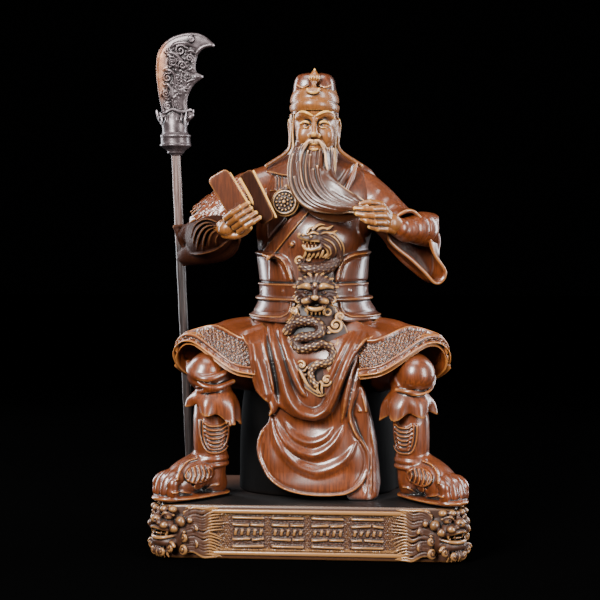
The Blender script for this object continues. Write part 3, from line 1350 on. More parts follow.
def left_sleeve_piece():
    clay = Clay((14, -52, 158), (112, 36, 268), 0.75)
    clay.limb([
        (18, 12, 247, 17), (30, 10, 243.5, 17), (46, 7, 232, 16.5), (64, 0, 214.5, 16), (80, -5, 204, 15),
    ], 4, steps=8)
    mouth = [
        (66.3, -34, 220), (72, -33.4, 223.6), (78, -30.5, 224.2), (84, -26.5, 219), (88.3, -23, 211.5),
        (92, -20, 201), (95, -18.5, 191), (99.8, -16, 183.4), (103.6, -13, 177), (102.6, -12.5, 171),
        (98.6, -13.5, 167.6), (94.4, -16, 168.6), (88.4, -19.5, 175.4), (77.2, -24.5, 186.4),
        (66.4, -28.5, 195), (59.5, -32, 203), (60.5, -34.6, 212.5),
    ]
    middle = [
        (58, -13, 222), (66, -12, 225.5), (75, -10, 224.6), (84, -8, 221), (92, -6, 214), (96.6, -5, 204),
        (97.6, -4, 194), (98.6, -3, 185), (99, -2, 177), (96, -1, 170), (91, 0, 167), (85.5, -1, 170),
        (78, -2, 177.5), (68, -4, 187), (58, -7, 197), (52, -10, 208), (53, -12, 220),
    ]
    back = [
        (56, 6, 217), (63, 9, 220), (71, 11, 218.6), (78, 12, 214), (85, 12, 208), (88.6, 12, 201),
        (90, 12, 194), (90, 12, 186), (90, 11, 179), (88, 10, 173), (84, 9, 171), (79, 8, 174),
        (73, 6, 180), (65, 4, 188), (58, 2, 197), (53, 2, 207), (53, 4, 218),
    ]
    rings = loop_rings([back, middle, mouth], 96, 30)
    clay.loft(rings, 2.5)
    inner = []
    for k, ring in enumerate(rings):
        middle_point = ring.mean(0)
        share = 1 - 2.3 / np.linalg.norm(ring - middle_point, axis=1, keepdims=True)
        inner.append(middle_point + (ring - middle_point) * share + (0, -0.6 * (k == len(rings) - 1), 0))
    inner.append(inner[-1] + (-4, -12, 0))
    clay.loft(inner[9:], 0.5, cut=True)
    rim = rings[-1][::3]
    clay.limb([(*p, 1.35) for p in np.vstack([rim, rim[:2]])], 1.0, steps=2)
    # Folds that pull from the wrist towards the shoulder
    for path, width, cut in (
        ([(43, -9, 222), (47, -8.6, 230), (52, -5, 238)], 2.0, False),
        ([(49, -10.5, 217), (53.6, -10, 225), (59.6, -6.4, 232)], 2.2, False),
        ([(55, -13, 213), (60, -13, 221), (66, -9.6, 227)], 2.0, False),
        ([(34, -10, 262), (30, -13, 250), (26, -16, 240), (25, -18, 232)], 2.2, False),
        ([(94, -8, 214), (98, -6, 202), (97, -6, 190)], 1.8, False),
        ([(60, -6, 196), (72, -4, 184), (86, -3, 172)], 2.2, False),
    ):
        clay.limb(
            [(*p, width * (0.4 if k in (0, len(path) - 1) else 1)) for k, p in enumerate(path)],
            4.0,
            cut=cut,
        )
    return cast(clay, "left_sleeve", stain("robe"), smoothing=3)


def loop_rings(loops, count, rows):
    """Rings between closed loops of points, each loop eased and evenly divided."""
    made = []
    for loop in loops:
        closed = closed_line(loop, 10)
        gone = np.concatenate([[0], np.cumsum(np.linalg.norm(np.diff(closed, axis=0), axis=1))])
        marks = np.interp(np.arange(len(loop)), np.arange(len(loop) + 1), gone[::10])
        share = np.concatenate([marks, [gone[-1]]])
        at = np.interp(np.linspace(0, len(loop), count, endpoint=False), np.arange(len(loop) + 1), share)
        made.append([np.interp(at, gone, closed[:, k]) for k in range(3)])
    table = np.array(made).reshape(len(loops), -1)
    return [row.reshape(3, count).T for row in between(table, rows)]


def left_forearm_piece():
    clay = Clay((56, -54, 192), (98, 4, 226), 0.55)
    ribbed = lambda s, q: 1.1 * np.abs(np.sin(np.pi * s / 3.6))
    clay.limb(
        [(91, -3, 209, 12.8), (83.6, -16, 210.4, 12.0), (74.4, -28.4, 209.8, 8.6)],
        0.4,
        across=(0, 0, 1),
        pattern=ribbed,
    )
    clay.limb([(73.4, -29.6, 208.4, 8.9), (71.6, -31.6, 209.4, 9.0)], 0.4)
    clay.limb([(70.4, -33, 210, 8.2), (68.6, -35, 210.8, 8.1)], 0.4)
    clay.limb([(69, -34, 210.4, 6.8), (64, -39, 212.6, 6.2)], 0.6)
    return cast(clay, "left_bracer", stain("robe"), smoothing=1)


def fingers(clay, all_stations):
    """Fingers with a small swelling at each joint."""
    for stations in all_stations:
        clay.limb(stations, 0.45, steps=5)
        for joint in stations[1:-1]:
            clay.ball(joint[:3], (joint[3] * 1.1,) * 3, soft=0.6)


def left_hand_piece():
    clay = Clay((29, -62, 202), (74, -32, 238), 0.42)
    clay.ball((62.5, -41.5, 215), (8.2, 5.4, 7.4), (0, 20, 30), 1.5)
    clay.limb([(68, -36, 212, 6.0), (62, -41.5, 214.5, 6.2)], 2.0)
    fingers(
        clay,
        [
            [
                (61, -42, 220, 3.3), (54.5, -47, 228.6, 2.8), (46, -50.5, 230.6, 2.4),
                (38.6, -51.5, 229.2, 1.9),
            ],
            [
                (60, -45, 219.4, 3.2), (56.6, -49, 225.2, 2.9), (48, -53.4, 225.4, 2.6),
                (41, -54.6, 225.6, 2.3), (35, -53.8, 226, 1.9),
            ],
            [
                (61, -44.6, 215.6, 3.2), (57.4, -49.6, 220.2, 3.0), (49, -54.8, 220.4, 2.6),
                (42.4, -56, 220.8, 2.3), (36.4, -55.6, 222, 1.9),
            ],
            [
                (62, -43.6, 211.8, 3.1), (57.4, -49.4, 215, 2.9), (50, -54.4, 215.4, 2.5),
                (44, -55.4, 216.6, 2.2), (40.4, -54.8, 218, 1.8),
            ],
            [
                (63.6, -42, 208.8, 2.8), (58.4, -47.4, 210.2, 2.6), (52, -51.6, 210.6, 2.2),
                (46, -52.6, 212, 1.8),
            ],
        ],
    )
    return cast(clay, "left_hand", stain("skin"), smoothing=2)


def right_hand_piece():
    clay = Clay((-78, -68, 196), (-32, -34, 236), 0.42)
    clay.ball((-63, -48, 211.5), (8.4, 6.0, 6.0), (0, -24, 20), 1.5)
    clay.limb([(-70, -40, 211, 6.6), (-63, -47, 211.6, 6.6)], 2.0)
    bases = [(-64.4, -53, 218.4), (-61.4, -53.8, 214.8), (-57.6, -54.2, 211.8), (-54, -53.8, 209)]
    tips = [(-46.6, -58.8, 230), (-44.6, -58.8, 226), (-41, -57.8, 222.6), (-38.2, -56, 219)]
    made = []
    for base, tip in zip(bases, tips):
        b, t = np.array(base), np.array(tip)
        ahead = t - b
        lift = np.array([0, -3.4, 0])
        made.append([
            (*b, 2.7),
            (*(b + ahead * 0.36 + lift), 2.6),
            (*(b + ahead * 0.7 + lift * 0.9), 2.3),
            (*t, 1.9),
        ])
    fingers(clay, made)
    clay.limb([
        (-66, -46, 206, 3.6), (-58, -49, 205, 3.0), (-51, -50, 207.4, 2.6), (-46.5, -50, 211, 2.2),
    ], 1.0)
    return cast(clay, "right_hand", stain("skin"), smoothing=2)


def right_sleeve_piece():
    clay = Clay((-118, -52, 172), (-18, 36, 268), 0.75)
    clay.limb([
        (-22, 11, 246, 17), (-38, 9, 240, 17), (-58, 6, 226, 16.5), (-76, 5, 211, 16.5), (-88, 4, 204, 17),
    ], 3, steps=8)
    clay.limb([
        (-88, 4, 204.5, 17.5), (-84, -12, 202.5, 16.5), (-76, -27, 207.5, 13.5), (-69, -38, 210.6, 8.8),
    ], 2.0, steps=8)
    clay.limb([
        (-60, -30, 202, 4.5), (-70, -17, 195, 9), (-86, -6, 191.5, 10), (-99, 2, 189.5, 9),
        (-105, 5, 188, 7),
    ], 3, steps=6)
    hem = [
        (-106.4, 5, 181), (-97.5, -1, 183), (-87, -6, 184.2), (-76.1, -11, 185.4), (-69.2, -17, 187.4),
        (-61.4, -27, 195.4), (-57, -34, 201.6), (-57.4, -38.6, 206),
    ]
    clay.limb([(x, y, z, 1.5) for x, y, z in hem], 1.4)
    clay.limb([(-92, 1, 207, 11), (-101, 1.5, 206, 8), (-106, 2.5, 204.6, 5)], 2)
    for path in (
        [(-113.4, 3.2, 211.4), (-107, 0.6, 212), (-100.4, -3, 211.4)],
        [(-113.4, 3.2, 211.4), (-110, 1.6, 202), (-106, 2, 194.6)],
    ):
        clay.limb([(*p, 1.5) for p in path], 1.2)
    clay.limb([(-110.5, 3.4, 209.4, 2.2), (-107, 2.4, 203, 3.8), (-105.6, 2.6, 196.8, 1.6)], 2)
    # Gathers that fan out from the wrist
    gathers = Relief.over(clay)
    for width, height, path in (
        (2.8, 2.2, [(-96.5, 203), (-93.6, 210.6), (-89.6, 215), (-83.6, 217.6), (-77, 217), (-71, 214.6)]),
        (2.6, 2.4, [(-94.6, 197), (-92.4, 204.4), (-89.6, 210), (-85, 213.8), (-79.6, 215), (-73, 213.6)]),
        (2.4, 2.4, [(-91.6, 193), (-89.6, 200.6), (-86.6, 207), (-82.4, 211.4), (-76.8, 213), (-70, 212)]),
        (2.2, 2.2, [(-86.6, 192), (-84.6, 200), (-82, 206.6), (-78.4, 210.4), (-73, 211.2)]),
        (2.0, 1.8, [(-80.6, 195), (-79.2, 202), (-76.6, 207), (-72.6, 209)]),
        (1.8, 1.5, [(-74.6, 196), (-73.8, 202), (-71.4, 206)]),
        (2.6, 2.0, [(-99.6, 190), (-92, 189.6), (-83, 191), (-74, 194), (-66, 199.4), (-61, 204)]),
    ):
        gathers.stroke(path, width, height, steps=6, taper=0.3)
    for path in (
        [(-95.4, 206), (-91.6, 212.4), (-85.6, 215.8), (-79, 216.2), (-73, 214.2)],
        [(-93, 200), (-89.8, 207), (-85, 212), (-79, 214), (-72.6, 212.8)],
        [(-89, 196), (-86.4, 203), (-82.4, 208.8), (-77, 211.6), (-71.6, 211.4)],
        [(-84, 196), (-81.4, 203.4), (-77.6, 208.2), (-73, 209.8)],
    ):
        gathers.stroke(path, 1.3, -2.0, steps=6, taper=0.3, add=True)
    clay.emboss(gathers, (-60, -6))
    return cast(clay, "right_sleeve", stain("dusk"), smoothing=1)


def right_pauldron_piece():
    clay = Clay((-110, -34, 206), (-26, 34, 270), 0.6)
    curly = lambda s, q: 1.7 * curls(s, q, 4.6, 1.9) * (s > 20) + 0.9 * ((s > 17) & (s < 19))
    clay.limb(
        [(-38, 7, 244, 16.6), (-52, 5, 237, 18.4), (-67, 3, 225.4, 19.6), (-82, 1, 212.6, 20.4)],
        0.5,
        across=(0, 1, 0),
        steps=10,
        pattern=curly,
    )
    clay.limb([
        (-38, 7, 243, 13.6), (-52, 5, 235, 16.2), (-67, 3, 223, 17.4), (-84, 1, 209, 18.6),
        (-96, 0, 198, 19),
    ], 0.5, cut=True)
    clay.plane((-84, 0, 211.5), (-0.62, 0.08, -0.78))
    rim = [
        (-95, 18, 207), (-99.6, 8, 213), (-98.6, -4, 218), (-92, -11.6, 220.4), (-83.4, -16.4, 220.6),
        (-75, -18.6, 217.6), (-68.3, -19.4, 213.4), (-62, -17, 208.5),
    ]
    clay.limb([(x, y, z, 1.8) for x, y, z in rim], 0.8)
    clay.limb([(x - 0.4, y - 1.2, z - 2.6, 1.3) for x, y, z in rim], 0.8)
    clay.limb([(x + 2.6, y + 0.4, z + 3.4, 0.9) for x, y, z in rim], 0.3)
    return cast(clay, "right_pauldron", stain("robe"), smoothing=1)


def slab(clay, front, back, signed, soft=1.0):
    """Adds cloth between two depths over an outline, signed being the distance outside of it."""
    _, y, _ = clay.places(clay.whole())
    slope = np.hypot(*np.gradient(front, clay.step))
    ahead = (front[:, None, :] - y) / np.sqrt(1 + np.minimum(slope, 3) ** 2)[:, None, :]
    behind = y - back
    away = blended_high(ahead, behind, soft)
    away = blended_high(away, np.broadcast_to(signed[:, None, :], away.shape), soft)
    clay.form = blended_low(clay.form, np.minimum(away, FAR).astype(np.float32), 0.6)


def signed_to(relief, outline, steps=1):
    """The distance outside a closed outline, over a relief's whole raster."""
    line = closed_line(outline, steps)
    away = np.full((relief.x.shape[0], relief.z.shape[1]), 99.0)
    for a, b in zip(line, line[1:]):
        ab = b - a
        t = np.clip(((relief.x - a[0]) * ab[0] + (relief.z - a[1]) * ab[1]) / max(ab @ ab, 1e-9), 0, 1)
        away = np.minimum(away, np.hypot(relief.x - a[0] - t * ab[0], relief.z - a[1] - t * ab[1]))
    return np.where(inside_of(line, relief.x, relief.z), -away, away)


def swell(relief, x, z, wide, tall, height):
    """A broad soft swelling, or a hollow when the height is negative."""
    relief.height += height * np.exp(-(((relief.x - x) / wide) ** 2) - ((relief.z - z) / tall) ** 2)


TONGUE = [
    (-30, 104), (-31.5, 84), (-30.4, 70), (-33, 60), (-39.2, 53.4), (-42, 46), (-42.8, 39.4), (-41.6, 32),
    (-38.4, 25.2), (-34.8, 19), (-29.9, 14.1), (-23, 9.6), (-15.4, 6.6), (-5, 4.4), (6.1, 3.5), (17, 3.6),
    (27.5, 4.6), (34, 7.2), (39, 10.8), (42.6, 15), (44.8, 19.6), (46.4, 25), (46.6, 31.9), (45.6, 38),
    (43, 43.6), (39.2, 49.4), (35.8, 55), (33, 61.5), (32, 69), (34.6, 77.6), (37, 84), (40.2, 100.6),
    (41.6, 124.7), (40, 140), (-30, 140),
]
DRAPE = [
    (-50, 141), (-60, 138), (-61, 131.6), (-54, 126), (-48.4, 118), (-46.4, 107), (-44.4, 93), (-42, 85),
    (-37, 79.6), (-32.4, 75.6), (-30.8, 71), (-32.2, 65.4), (-27.4, 67.6), (-24, 73), (-19.4, 70),
    (-14, 66), (-6.1, 63.4), (3.9, 62.2), (11.6, 64.4), (16.8, 69), (21.6, 79), (26, 91), (31, 104),
    (36, 115), (43, 123.6), (52, 128), (61, 132), (60, 138), (50, 141),
]
HEM_START, HEM_END = 4, 28


def robe_piece():
    clay = Clay((-64, -74, -2), (64, -8, 148), 0.75)
    low, high = Relief.over(clay), Relief.over(clay)
    z = low.z
    levels = np.array([
        [150, -14], [142, -24], [132, -35], [122, -43], [110, -48.5], [95, -51], [80, -51.5], [62, -50.5],
        [40, -50], [22, -50.5], [11, -52], [3, -53.5],
    ])[::-1]
    fall = np.interp(z, levels[:, 0], levels[:, 1]) + 0 * low.x
    # The lower tongue: rounded cloth between the knees
    for path, width, height in (
        ([
            (-27.5, 66), (-25, 56), (-19, 46.4), (-12, 40), (-4.4, 36.4), (3.6, 35.4), (12.5, 39.4),
            (20, 47), (26, 58),
        ], 6.0, 3.4),
        ([
            (-30, 62), (-27, 50), (-20, 38.4), (-11, 29.2), (-2, 24.4), (7, 22.8), (19, 26.4), (29, 34),
            (36, 46),
        ], 7.0, 3.4),
        ([(-21, 64), (-16, 54), (-8, 47.4), (2, 45), (12, 49), (18, 57)], 5.0, 2.2),
        ([(38, 124), (35.4, 110), (31.6, 96), (28.6, 84), (26.6, 72), (24.6, 62)], 4.6, 4.2),
        ([(41, 124), (38.6, 106), (35.5, 92), (32.8, 80), (31, 68), (33.6, 56), (38, 46)], 3.4, 2.6),
    ):
        low.stroke(path, width, height, steps=8, taper=0.25)
    swell(low, -27, 30, 12, 17, 4.0)
    swell(low, 32, 36, 9, 15, 3.0)
    swell(low, 4, 12, 30, 8, 2.2)
    swell(low, 0, 58, 18, 9, -4.0)
    swell(low, -6, 32, 10, 5, -1.2)
    low.stroke(
        [(x * 0.965 + 0.1, z * 0.965 + 1.6) for x, z in TONGUE[HEM_START:HEM_END]],
        1.9,
        1.3,
        steps=4,
        add=True,
    )
    low.stroke(
        [(x * 0.9 + 0.2, z * 0.93 + 3.4) for x, z in TONGUE[HEM_START:HEM_END]],
        2.0,
        -0.7,
        steps=4,
        add=True,
    )
    roll = 8.0 * np.clip(np.abs(low.x - 2) / 45, 0, 1.2) ** 4
    slab(clay, fall + 1.0 + roll - low.height, -24, signed_to(low, TONGUE), 2.0)
    # The drape over it, which hangs from both hips in one deep fold
    for path, width, height in (
        ([(-47, 138), (-43.6, 126), (-40, 112), (-37, 98), (-34.6, 86), (-32.6, 76)], 7.6, 5.2),
        ([
            (-35, 140), (-31, 128), (-27.2, 118.3), (-22, 100), (-18.2, 84.6), (-13, 74.4), (-6.4, 68.6),
            (-1, 66.8), (3.9, 66.4), (9, 68.8), (14.2, 74), (21.9, 91.3), (27, 105), (32.7, 119.1),
            (39.8, 132.2),
        ], 6.4, 5.4),
        ([(-41, 138), (-36.5, 124), (-32.6, 110), (-29.6, 96), (-27.4, 84)], 3.4, 2.6),
        ([(-27, 136), (-19, 117), (-13, 101), (-7, 88), (-2, 80)], 4.2, 3.0),
        ([(33, 132), (25, 114), (18.6, 99), (13, 87), (9, 79)], 4.2, 3.0),
        ([(45, 134), (39.6, 120), (34.4, 107)], 4.0, 3.0),
    ):
        high.stroke(path, width, height, steps=8, taper=0.14)
    for path, width, depth in (
        ([(-36.5, 134), (-31.8, 118), (-28, 102), (-25.4, 88), (-24, 76)], 3.0, -2.6),
        ([
            (-30, 134), (-23, 116), (-17.4, 99), (-11.6, 86), (-5, 77), (3, 74.6), (9, 79), (17, 94),
            (24, 110), (31, 126),
        ], 3.4, -2.4),
    ):
        high.stroke(path, width, depth, steps=8, taper=0.14, add=True)
    swell(high, 3, 92, 12, 17, -6.0)
    swell(high, 3, 76, 8, 6, -2.0)
    high.stroke([(x + 1.4, z + 0.9) for x, z in DRAPE[1:12]], 1.7, 1.3, steps=4, add=True)
    high.stroke([(x - 1.0, z + 1.4) for x, z in DRAPE[19:27]], 1.7, 1.3, steps=4, add=True)
    # It comes forward over the thighs and lies on the flaps
    for s in SIDES:
        swell(high, 56 * s, 128, 9, 7, 6.0)
        swell(high, 44 * s, 110, 9, 17, 5.6)
        high.stroke(sided(s, [(58, 131), (51, 126), (45, 116), (42, 102)]), 4.4, 2.6, steps=8, taper=0.2)
        high.stroke(
            sided(s, [(54, 135), (46, 129), (39, 118), (35, 104)]),
            3.2,
            -1.8,
            steps=8,
            taper=0.2,
            add=True,
        )
    tuck = 0.6 * np.clip(np.abs(high.x) - 16, 0, 60) * smooth_step(high.z, 121, 139)
    calm = 1 - smooth_step(high.z, 128, 140)
    slab(clay, fall - 2.4 + tuck - high.height * calm, -12, signed_to(high, DRAPE), 2.6)
    # The strip of robe that falls beside the tongue to the plinth
    side = Relief.over(clay)
    for path, width, height in (
        ([(40, 84), (45.4, 60), (49.6, 36), (50.6, 4)], 1.8, 1.6),
        ([(36, 76), (42, 56), (47, 30), (46.6, 4)], 2.6, 1.4),
        ([(34, 66), (38, 52), (43, 36), (42, 4)], 2.2, -1.4),
    ):
        side.stroke(path, width, height, steps=8, taper=0.1)
    strip = [(30, 92), (40, 88), (44.6, 72), (49, 54), (51.6, 36), (52.4, 2), (28, 2), (28, 60)]
    turned_in = 7.0 * np.clip((low.x - 42) / 10, 0, 1.2) ** 2
    slab(clay, fall + 6.0 + turned_in - side.height, -24, signed_to(side, strip, 3), 2.0)
    clay.plane((0, 0, 0.2), (0, 0, -1), 0.3)
    return cast(clay, "robe_front", stain("robe"), smoothing=3)


APRON_BODY = [
    (-18, 131), (-13, 136.8), (-5.1, 139), (3, 138.4), (8, 134.6), (6.8, 129), (0, 127), (-7.5, 126),
    (-11.6, 121.8), (-7, 118), (1.5, 119.6), (9.5, 121.8), (16, 118.6), (17.2, 112.4), (13.2, 107.4),
    (6, 106), (1.6, 102), (1.4, 96.6), (4.9, 90),
]


def apron_y(x, z):
    """The depth of the apron's face."""
    upright = np.interp(z, [80, 90, 105, 120, 135, 152], [-54.5, -52.5, -50.5, -48, -44, -39])
    return float(upright) + 0.014 * (x - 4) ** 2


def apron_piece():
    clay = Clay((-30, -68, 78), (36, -30, 156), 0.5)
    relief = Relief.over(clay)
    outline = [
        (-14, 152), (-22, 144), (-26, 132), (-24, 119), (-20, 109), (-14, 99), (-7, 90), (3, 83), (9.4, 81),
        (15.5, 86), (22, 98), (26, 108), (29, 120), (28, 132), (22, 142), (16, 152),
    ]
    depth = np.array([[apron_y(x, z) for z in relief.z[0]] for x in relief.x[:, 0]]) + 1.2
    slab(clay, depth - relief.height, -34, signed_to(relief, outline, 4), 1.2)

    def put(stations, soft=0.35, **more):
        clay.limb([(x, apron_y(x, z) - out, z, r) for x, z, r, out in stations], soft, **more)

    # The dragon's tail, in three bends
    count = len(APRON_BODY)
    size = lambda k: 3.1 - 1.7 * max(0, (k / (count - 1)) - 0.35) / 0.65
    scaly = lambda s, q: scales(s, q, 2.9, 1.5)
    put(
        [(x, z, size(k), 1.9) for k, (x, z) in enumerate(APRON_BODY)],
        0.5,
        steps=7,
        across=(0, 1, 0.1),
        pattern=scaly,
    )
    fins = [
        (-15, 136.4, 150), (-9, 140.8, 120), (-12.6, 121, 215), (-9, 115.4, 240), (19.6, 121, 20),
        (20.2, 114, -10), (14, 104.6, -60), (12, 131, 10), (-2.6, 98, 200),
    ]
    for x, z, degrees in fins:
        for spread in (-32, 0, 32):
            a = math.radians(degrees + spread)
            put([
                (x, z, 0.9, 1.2),
                (x + 2.4 * math.cos(a), z + 2.4 * math.sin(a), 0.8, 1.4),
                (x + 5 * math.cos(a + 0.3), z + 5 * math.sin(a + 0.3), 0.3, 1.0),
            ], 0.2)
    # Claws on the left, cloud scrolls on the right and below
    for k in range(4):
        put([
            (-17 + k * 1.4, 126 - k * 1.6, 1.1, 1.6), (-20.5 + k * 1.6, 121.6 - k * 2.4, 0.9, 1.4),
            (-20 + k * 2.4, 117 - k * 2.6, 0.3, 1.0),
        ], 0.2)
    for x, z, radius, start, spin in (
        (19.4, 136, 5.8, 200, 1), (-6.4, 105.4, 5.0, -20, -1), (13.2, 94.4, 4.8, 200, 1),
        (22.6, 142.4, 3.2, 230, -1), (-13.4, 146.5, 3.0, -60, 1),
    ):
        clay.limb(spiral_line(x, z, radius, 1.6, start, spin, apron_y, 1.4, 1.25), 0.3, steps=2)
        clay.limb(spiral_line(x, z, radius * 0.4, 1.0, start, spin, apron_y, 2.2, 1.0), 0.3, steps=2)
    for path in (
        [(-11, 108, 1.4, 1.2), (-6, 99, 1.5, 1.6), (-2, 91.5, 1.2, 1.4), (4, 85.6, 0.6, 1.0)],
        [(3.2, 95, 1.1, 1.8), (1.2, 89.6, 1.1, 1.6), (6.6, 84.2, 0.6, 1.0)],
        [(6.4, 92, 1.1, 2.0), (6, 87.4, 1.0, 1.8), (8.6, 83.6, 0.5, 1.0)],
        [(9.8, 92, 1.0, 1.8), (9.4, 87.6, 0.9, 1.6), (10, 84, 0.5, 1.0)],
        [(19, 104, 1.2, 1.4), (17.6, 98, 1.3, 1.6), (15.4, 91, 0.8, 1.2)],
    ):
        put(path, 0.25)
    # Tab with a ring, under the mask
    clay.ball((3.8, apron_y(4, 148) - 1, 147.6), (8.8, 3.2, 4.0), soft=1.0)
    clay.limb(
        [(*p, 0.8) for p in ring_of((13.2, apron_y(13, 146) - 2.4, 146), 2.4, (0, -1, 0), 14)],
        0.3,
        steps=1,
    )
    return cast(clay, "apron_dragon", stain("relief"), smoothing=1)


FLAP_RIM = [
    (-88, -12, 92), (-98, -18, 94), (-105.5, -25, 101), (-107.4, -30, 108.5), (-105.6, -33, 116),
    (-100, -36.5, 121), (-92, -41.5, 121.6), (-84.2, -46.5, 118.2), (-75.6, -52, 112.6), (-68, -56, 107.4),
    (-61, -58, 102.8), (-54.5, -58.6, 99.8), (-48, -57.4, 98.4), (-40, -54, 97),
]
FLAP_MIDDLE = [
    (-74, 2, 88), (-84, -2, 90), (-91, -6, 98), (-93, -9, 108), (-92, -12, 118), (-88, -16, 126),
    (-82, -20.5, 130.6), (-76, -26, 131.6), (-69, -32, 130), (-62, -37, 127), (-55.5, -41, 123.6),
    (-50, -43.5, 120), (-45, -45, 117), (-38, -45, 113),
]
FLAP_HIP = [
    (-50, 20, 86), (-60, 18, 88), (-66, 15, 96), (-68, 12, 108), (-66, 9, 120), (-62, 4, 130),
    (-57, -2, 135.6), (-52, -8, 135), (-47, -14, 133.6), (-42, -19, 132), (-38, -24, 131),
    (-34, -28, 129.6), (-31, -31, 127.6), (-28, -33, 125.6),
]


def spaced(line, count):
    """Points evenly spaced along a line."""
    gone = np.concatenate([[0], np.cumsum(np.linalg.norm(np.diff(line, axis=0), axis=1))])
    at = np.linspace(0, gone[-1], count)
    return np.stack([np.interp(at, gone, line[:, k]) for k in range(3)], 1), gone[-1]


def smooth_step(value, low, high):
    """0 up to low, 1 from high on, and eased between them."""
    t = np.clip((value - low) / (high - low), 0, 1)
    return t * t * (3 - 2 * t)


def curls(down, along, pitch, wound):
    """Heights of small curls that lie in rows, every second row shifted by half a step."""
    row = np.floor(down / (0.87 * pitch))
    du = down - (row + 0.5) * 0.87 * pitch
    shifted = along / pitch + 0.5 * (row % 2)
    column = np.floor(shifted)
    dv = (shifted - column - 0.5) * pitch
    away = np.hypot(du, dv)
    spin = np.where((row + column) % 2 < 1, 1, -1)
    turn = np.arctan2(du, dv) * spin + 1.7 * row + 0.9 * column
    ridge = 0.5 + 0.5 * np.cos(2 * np.pi * away / wound - turn)
    return ridge * np.clip(1.35 - (away / (0.6 * pitch)) ** 2, 0, 1)


def thigh_flap_piece(s):
    count, depth, upright = 250, 104, 24
    curves = []
    for stations in (FLAP_RIM, FLAP_MIDDLE, FLAP_HIP):
        line, length = spaced(smooth_line(stations, 12), count)
        curves.append(line)
        if stations is FLAP_RIM:
            rim_length = length
    rim, middle, hip = (c[:, None, :] for c in curves)
    # The rim stands up as a band that faces the viewer
    lifted = rim + (0, 0.8, 5.4)
    t = np.linspace(0, 1, depth)[None, :, None]
    upper = lifted * (1 - t) * (1 - 2 * t) + 4 * middle * t * (1 - t) + hip * t * (2 * t - 1)
    up = np.linspace(0, 1, upright, endpoint=False)[None, :, None]
    grid = np.concatenate([rim + (lifted - rim) * up, upper], axis=1)
    if s > 0:
        fade = np.concatenate([np.ones(upright), 1 - t[0, :, 0]])[None, :, None]
        grid = grid * (-1, 1, 1) + np.array((-1.5, -0.5, 0)) * fade
    normal = np.cross(np.gradient(grid, axis=0), np.gradient(grid, axis=1))
    normal /= np.linalg.norm(normal, axis=2, keepdims=True) + 1e-9
    if normal[count // 2, upright + depth // 3, 2] < 0:
        normal = -normal
    steps = np.linalg.norm(np.diff(grid, axis=1), axis=2)
    down = np.concatenate([np.zeros((count, 1)), np.cumsum(steps, axis=1)], 1)
    along = np.linspace(0, rim_length, count)[:, None] + 0 * down
    share = along / rim_length
    edge = 9.5 + 17.5 * smooth_step(share, 0.40, 0.62) + 4 * smooth_step(share, 0.8, 1.0)
    band = smooth_step(down, 6.4, 5.4)
    robe = smooth_step(down, edge - 0.4, edge + 0.8)
    field = (1 - band) * (1 - robe) * smooth_step(share, 0.32, 0.38)
    rise = 1.0 * band + 0.9 * np.exp(-(((down - 0.8) / 0.9) ** 2))
    rise = rise + 0.7 * np.exp(-(((down - 5.4) / 0.7) ** 2))
    stud_at = (along + 4) % 7.2 - 3.6
    stud = 1 - (stud_at / 1.1) ** 2 - ((down - 3.0) / 1.1) ** 2
    rise = rise + 0.9 * np.sqrt(np.clip(stud, 0, 1)) * smooth_step(share, 0.3, 0.36)
    rise = rise + field * 1.7 * curls(
        down + 0.3 * np.sin(along * 0.5), along + 0.4 * np.sin(down * 0.6), 4.3, 1.75,
    )
    rise = rise + robe * 3.0 + 1.0 * np.exp(-(((down - edge - 1.5) / 1.3) ** 2))
    for place, width, height in ((0.46, 2.6, 2.0), (0.62, 3.0, 2.2), (0.8, 3.0, 2.0), (0.95, 2.4, 1.8)):
        ridge = along - rim_length * (place + 0.1 * (down / 60 - 0.4))
        rise = rise + height * robe * np.exp(-((ridge / (width * 1.6)) ** 2)) * smooth_step(
            down, edge + 2, edge + 12,
        )
    lip = 1.6 * (1 - smooth_step(down, 0, 5)) * smooth_step(share, 0.15, 0.4)
    front = grid + normal * (rise + lip)[..., None]
    thick = 4.2 + rise * 0.6 - 1.6 * np.exp(-((down / 1.6) ** 2))
    if s > 0:
        front = front[::-1]
        thick = thick[::-1]
    across = np.cross(np.gradient(front, axis=0), np.gradient(front, axis=1))
    if across[count // 2, upright + depth // 3, 2] < 0:
        front, thick = front[::-1], thick[::-1]
    return shell("thigh_flap_" + ("left" if s > 0 else "right"), front, thick, stain("robe"))


def cuff_rings(s, cx, cy, top, low):
    """Rings of the gathered trouser end: a skirt with soft flutes and a wavy lower edge."""
    rings = []
    angle = np.linspace(0, 2 * np.pi, 140, endpoint=False)
    for t in np.linspace(0, 1, 26):
        lobe = np.cos(6 * (angle + (0.47 if s > 0 else 0.23)))
        wave = 1 + 0.12 * t**1.2 * lobe + 0.03 * t * np.cos(angle * 11 + 2)
        r = 12.4 + 7.8 * math.sin(min(1.5 * t, 1) * math.pi / 2)
        drop = (2.4 * lobe - (2.5 if s > 0 else 8.0) * s * np.sin(angle)) * t**1.5
        z = top + (low - top) * t - drop
        rings.append(np.stack([cx + r * wave * np.sin(angle), cy - r * 0.86 * wave * np.cos(angle), z], 1))
    return rings


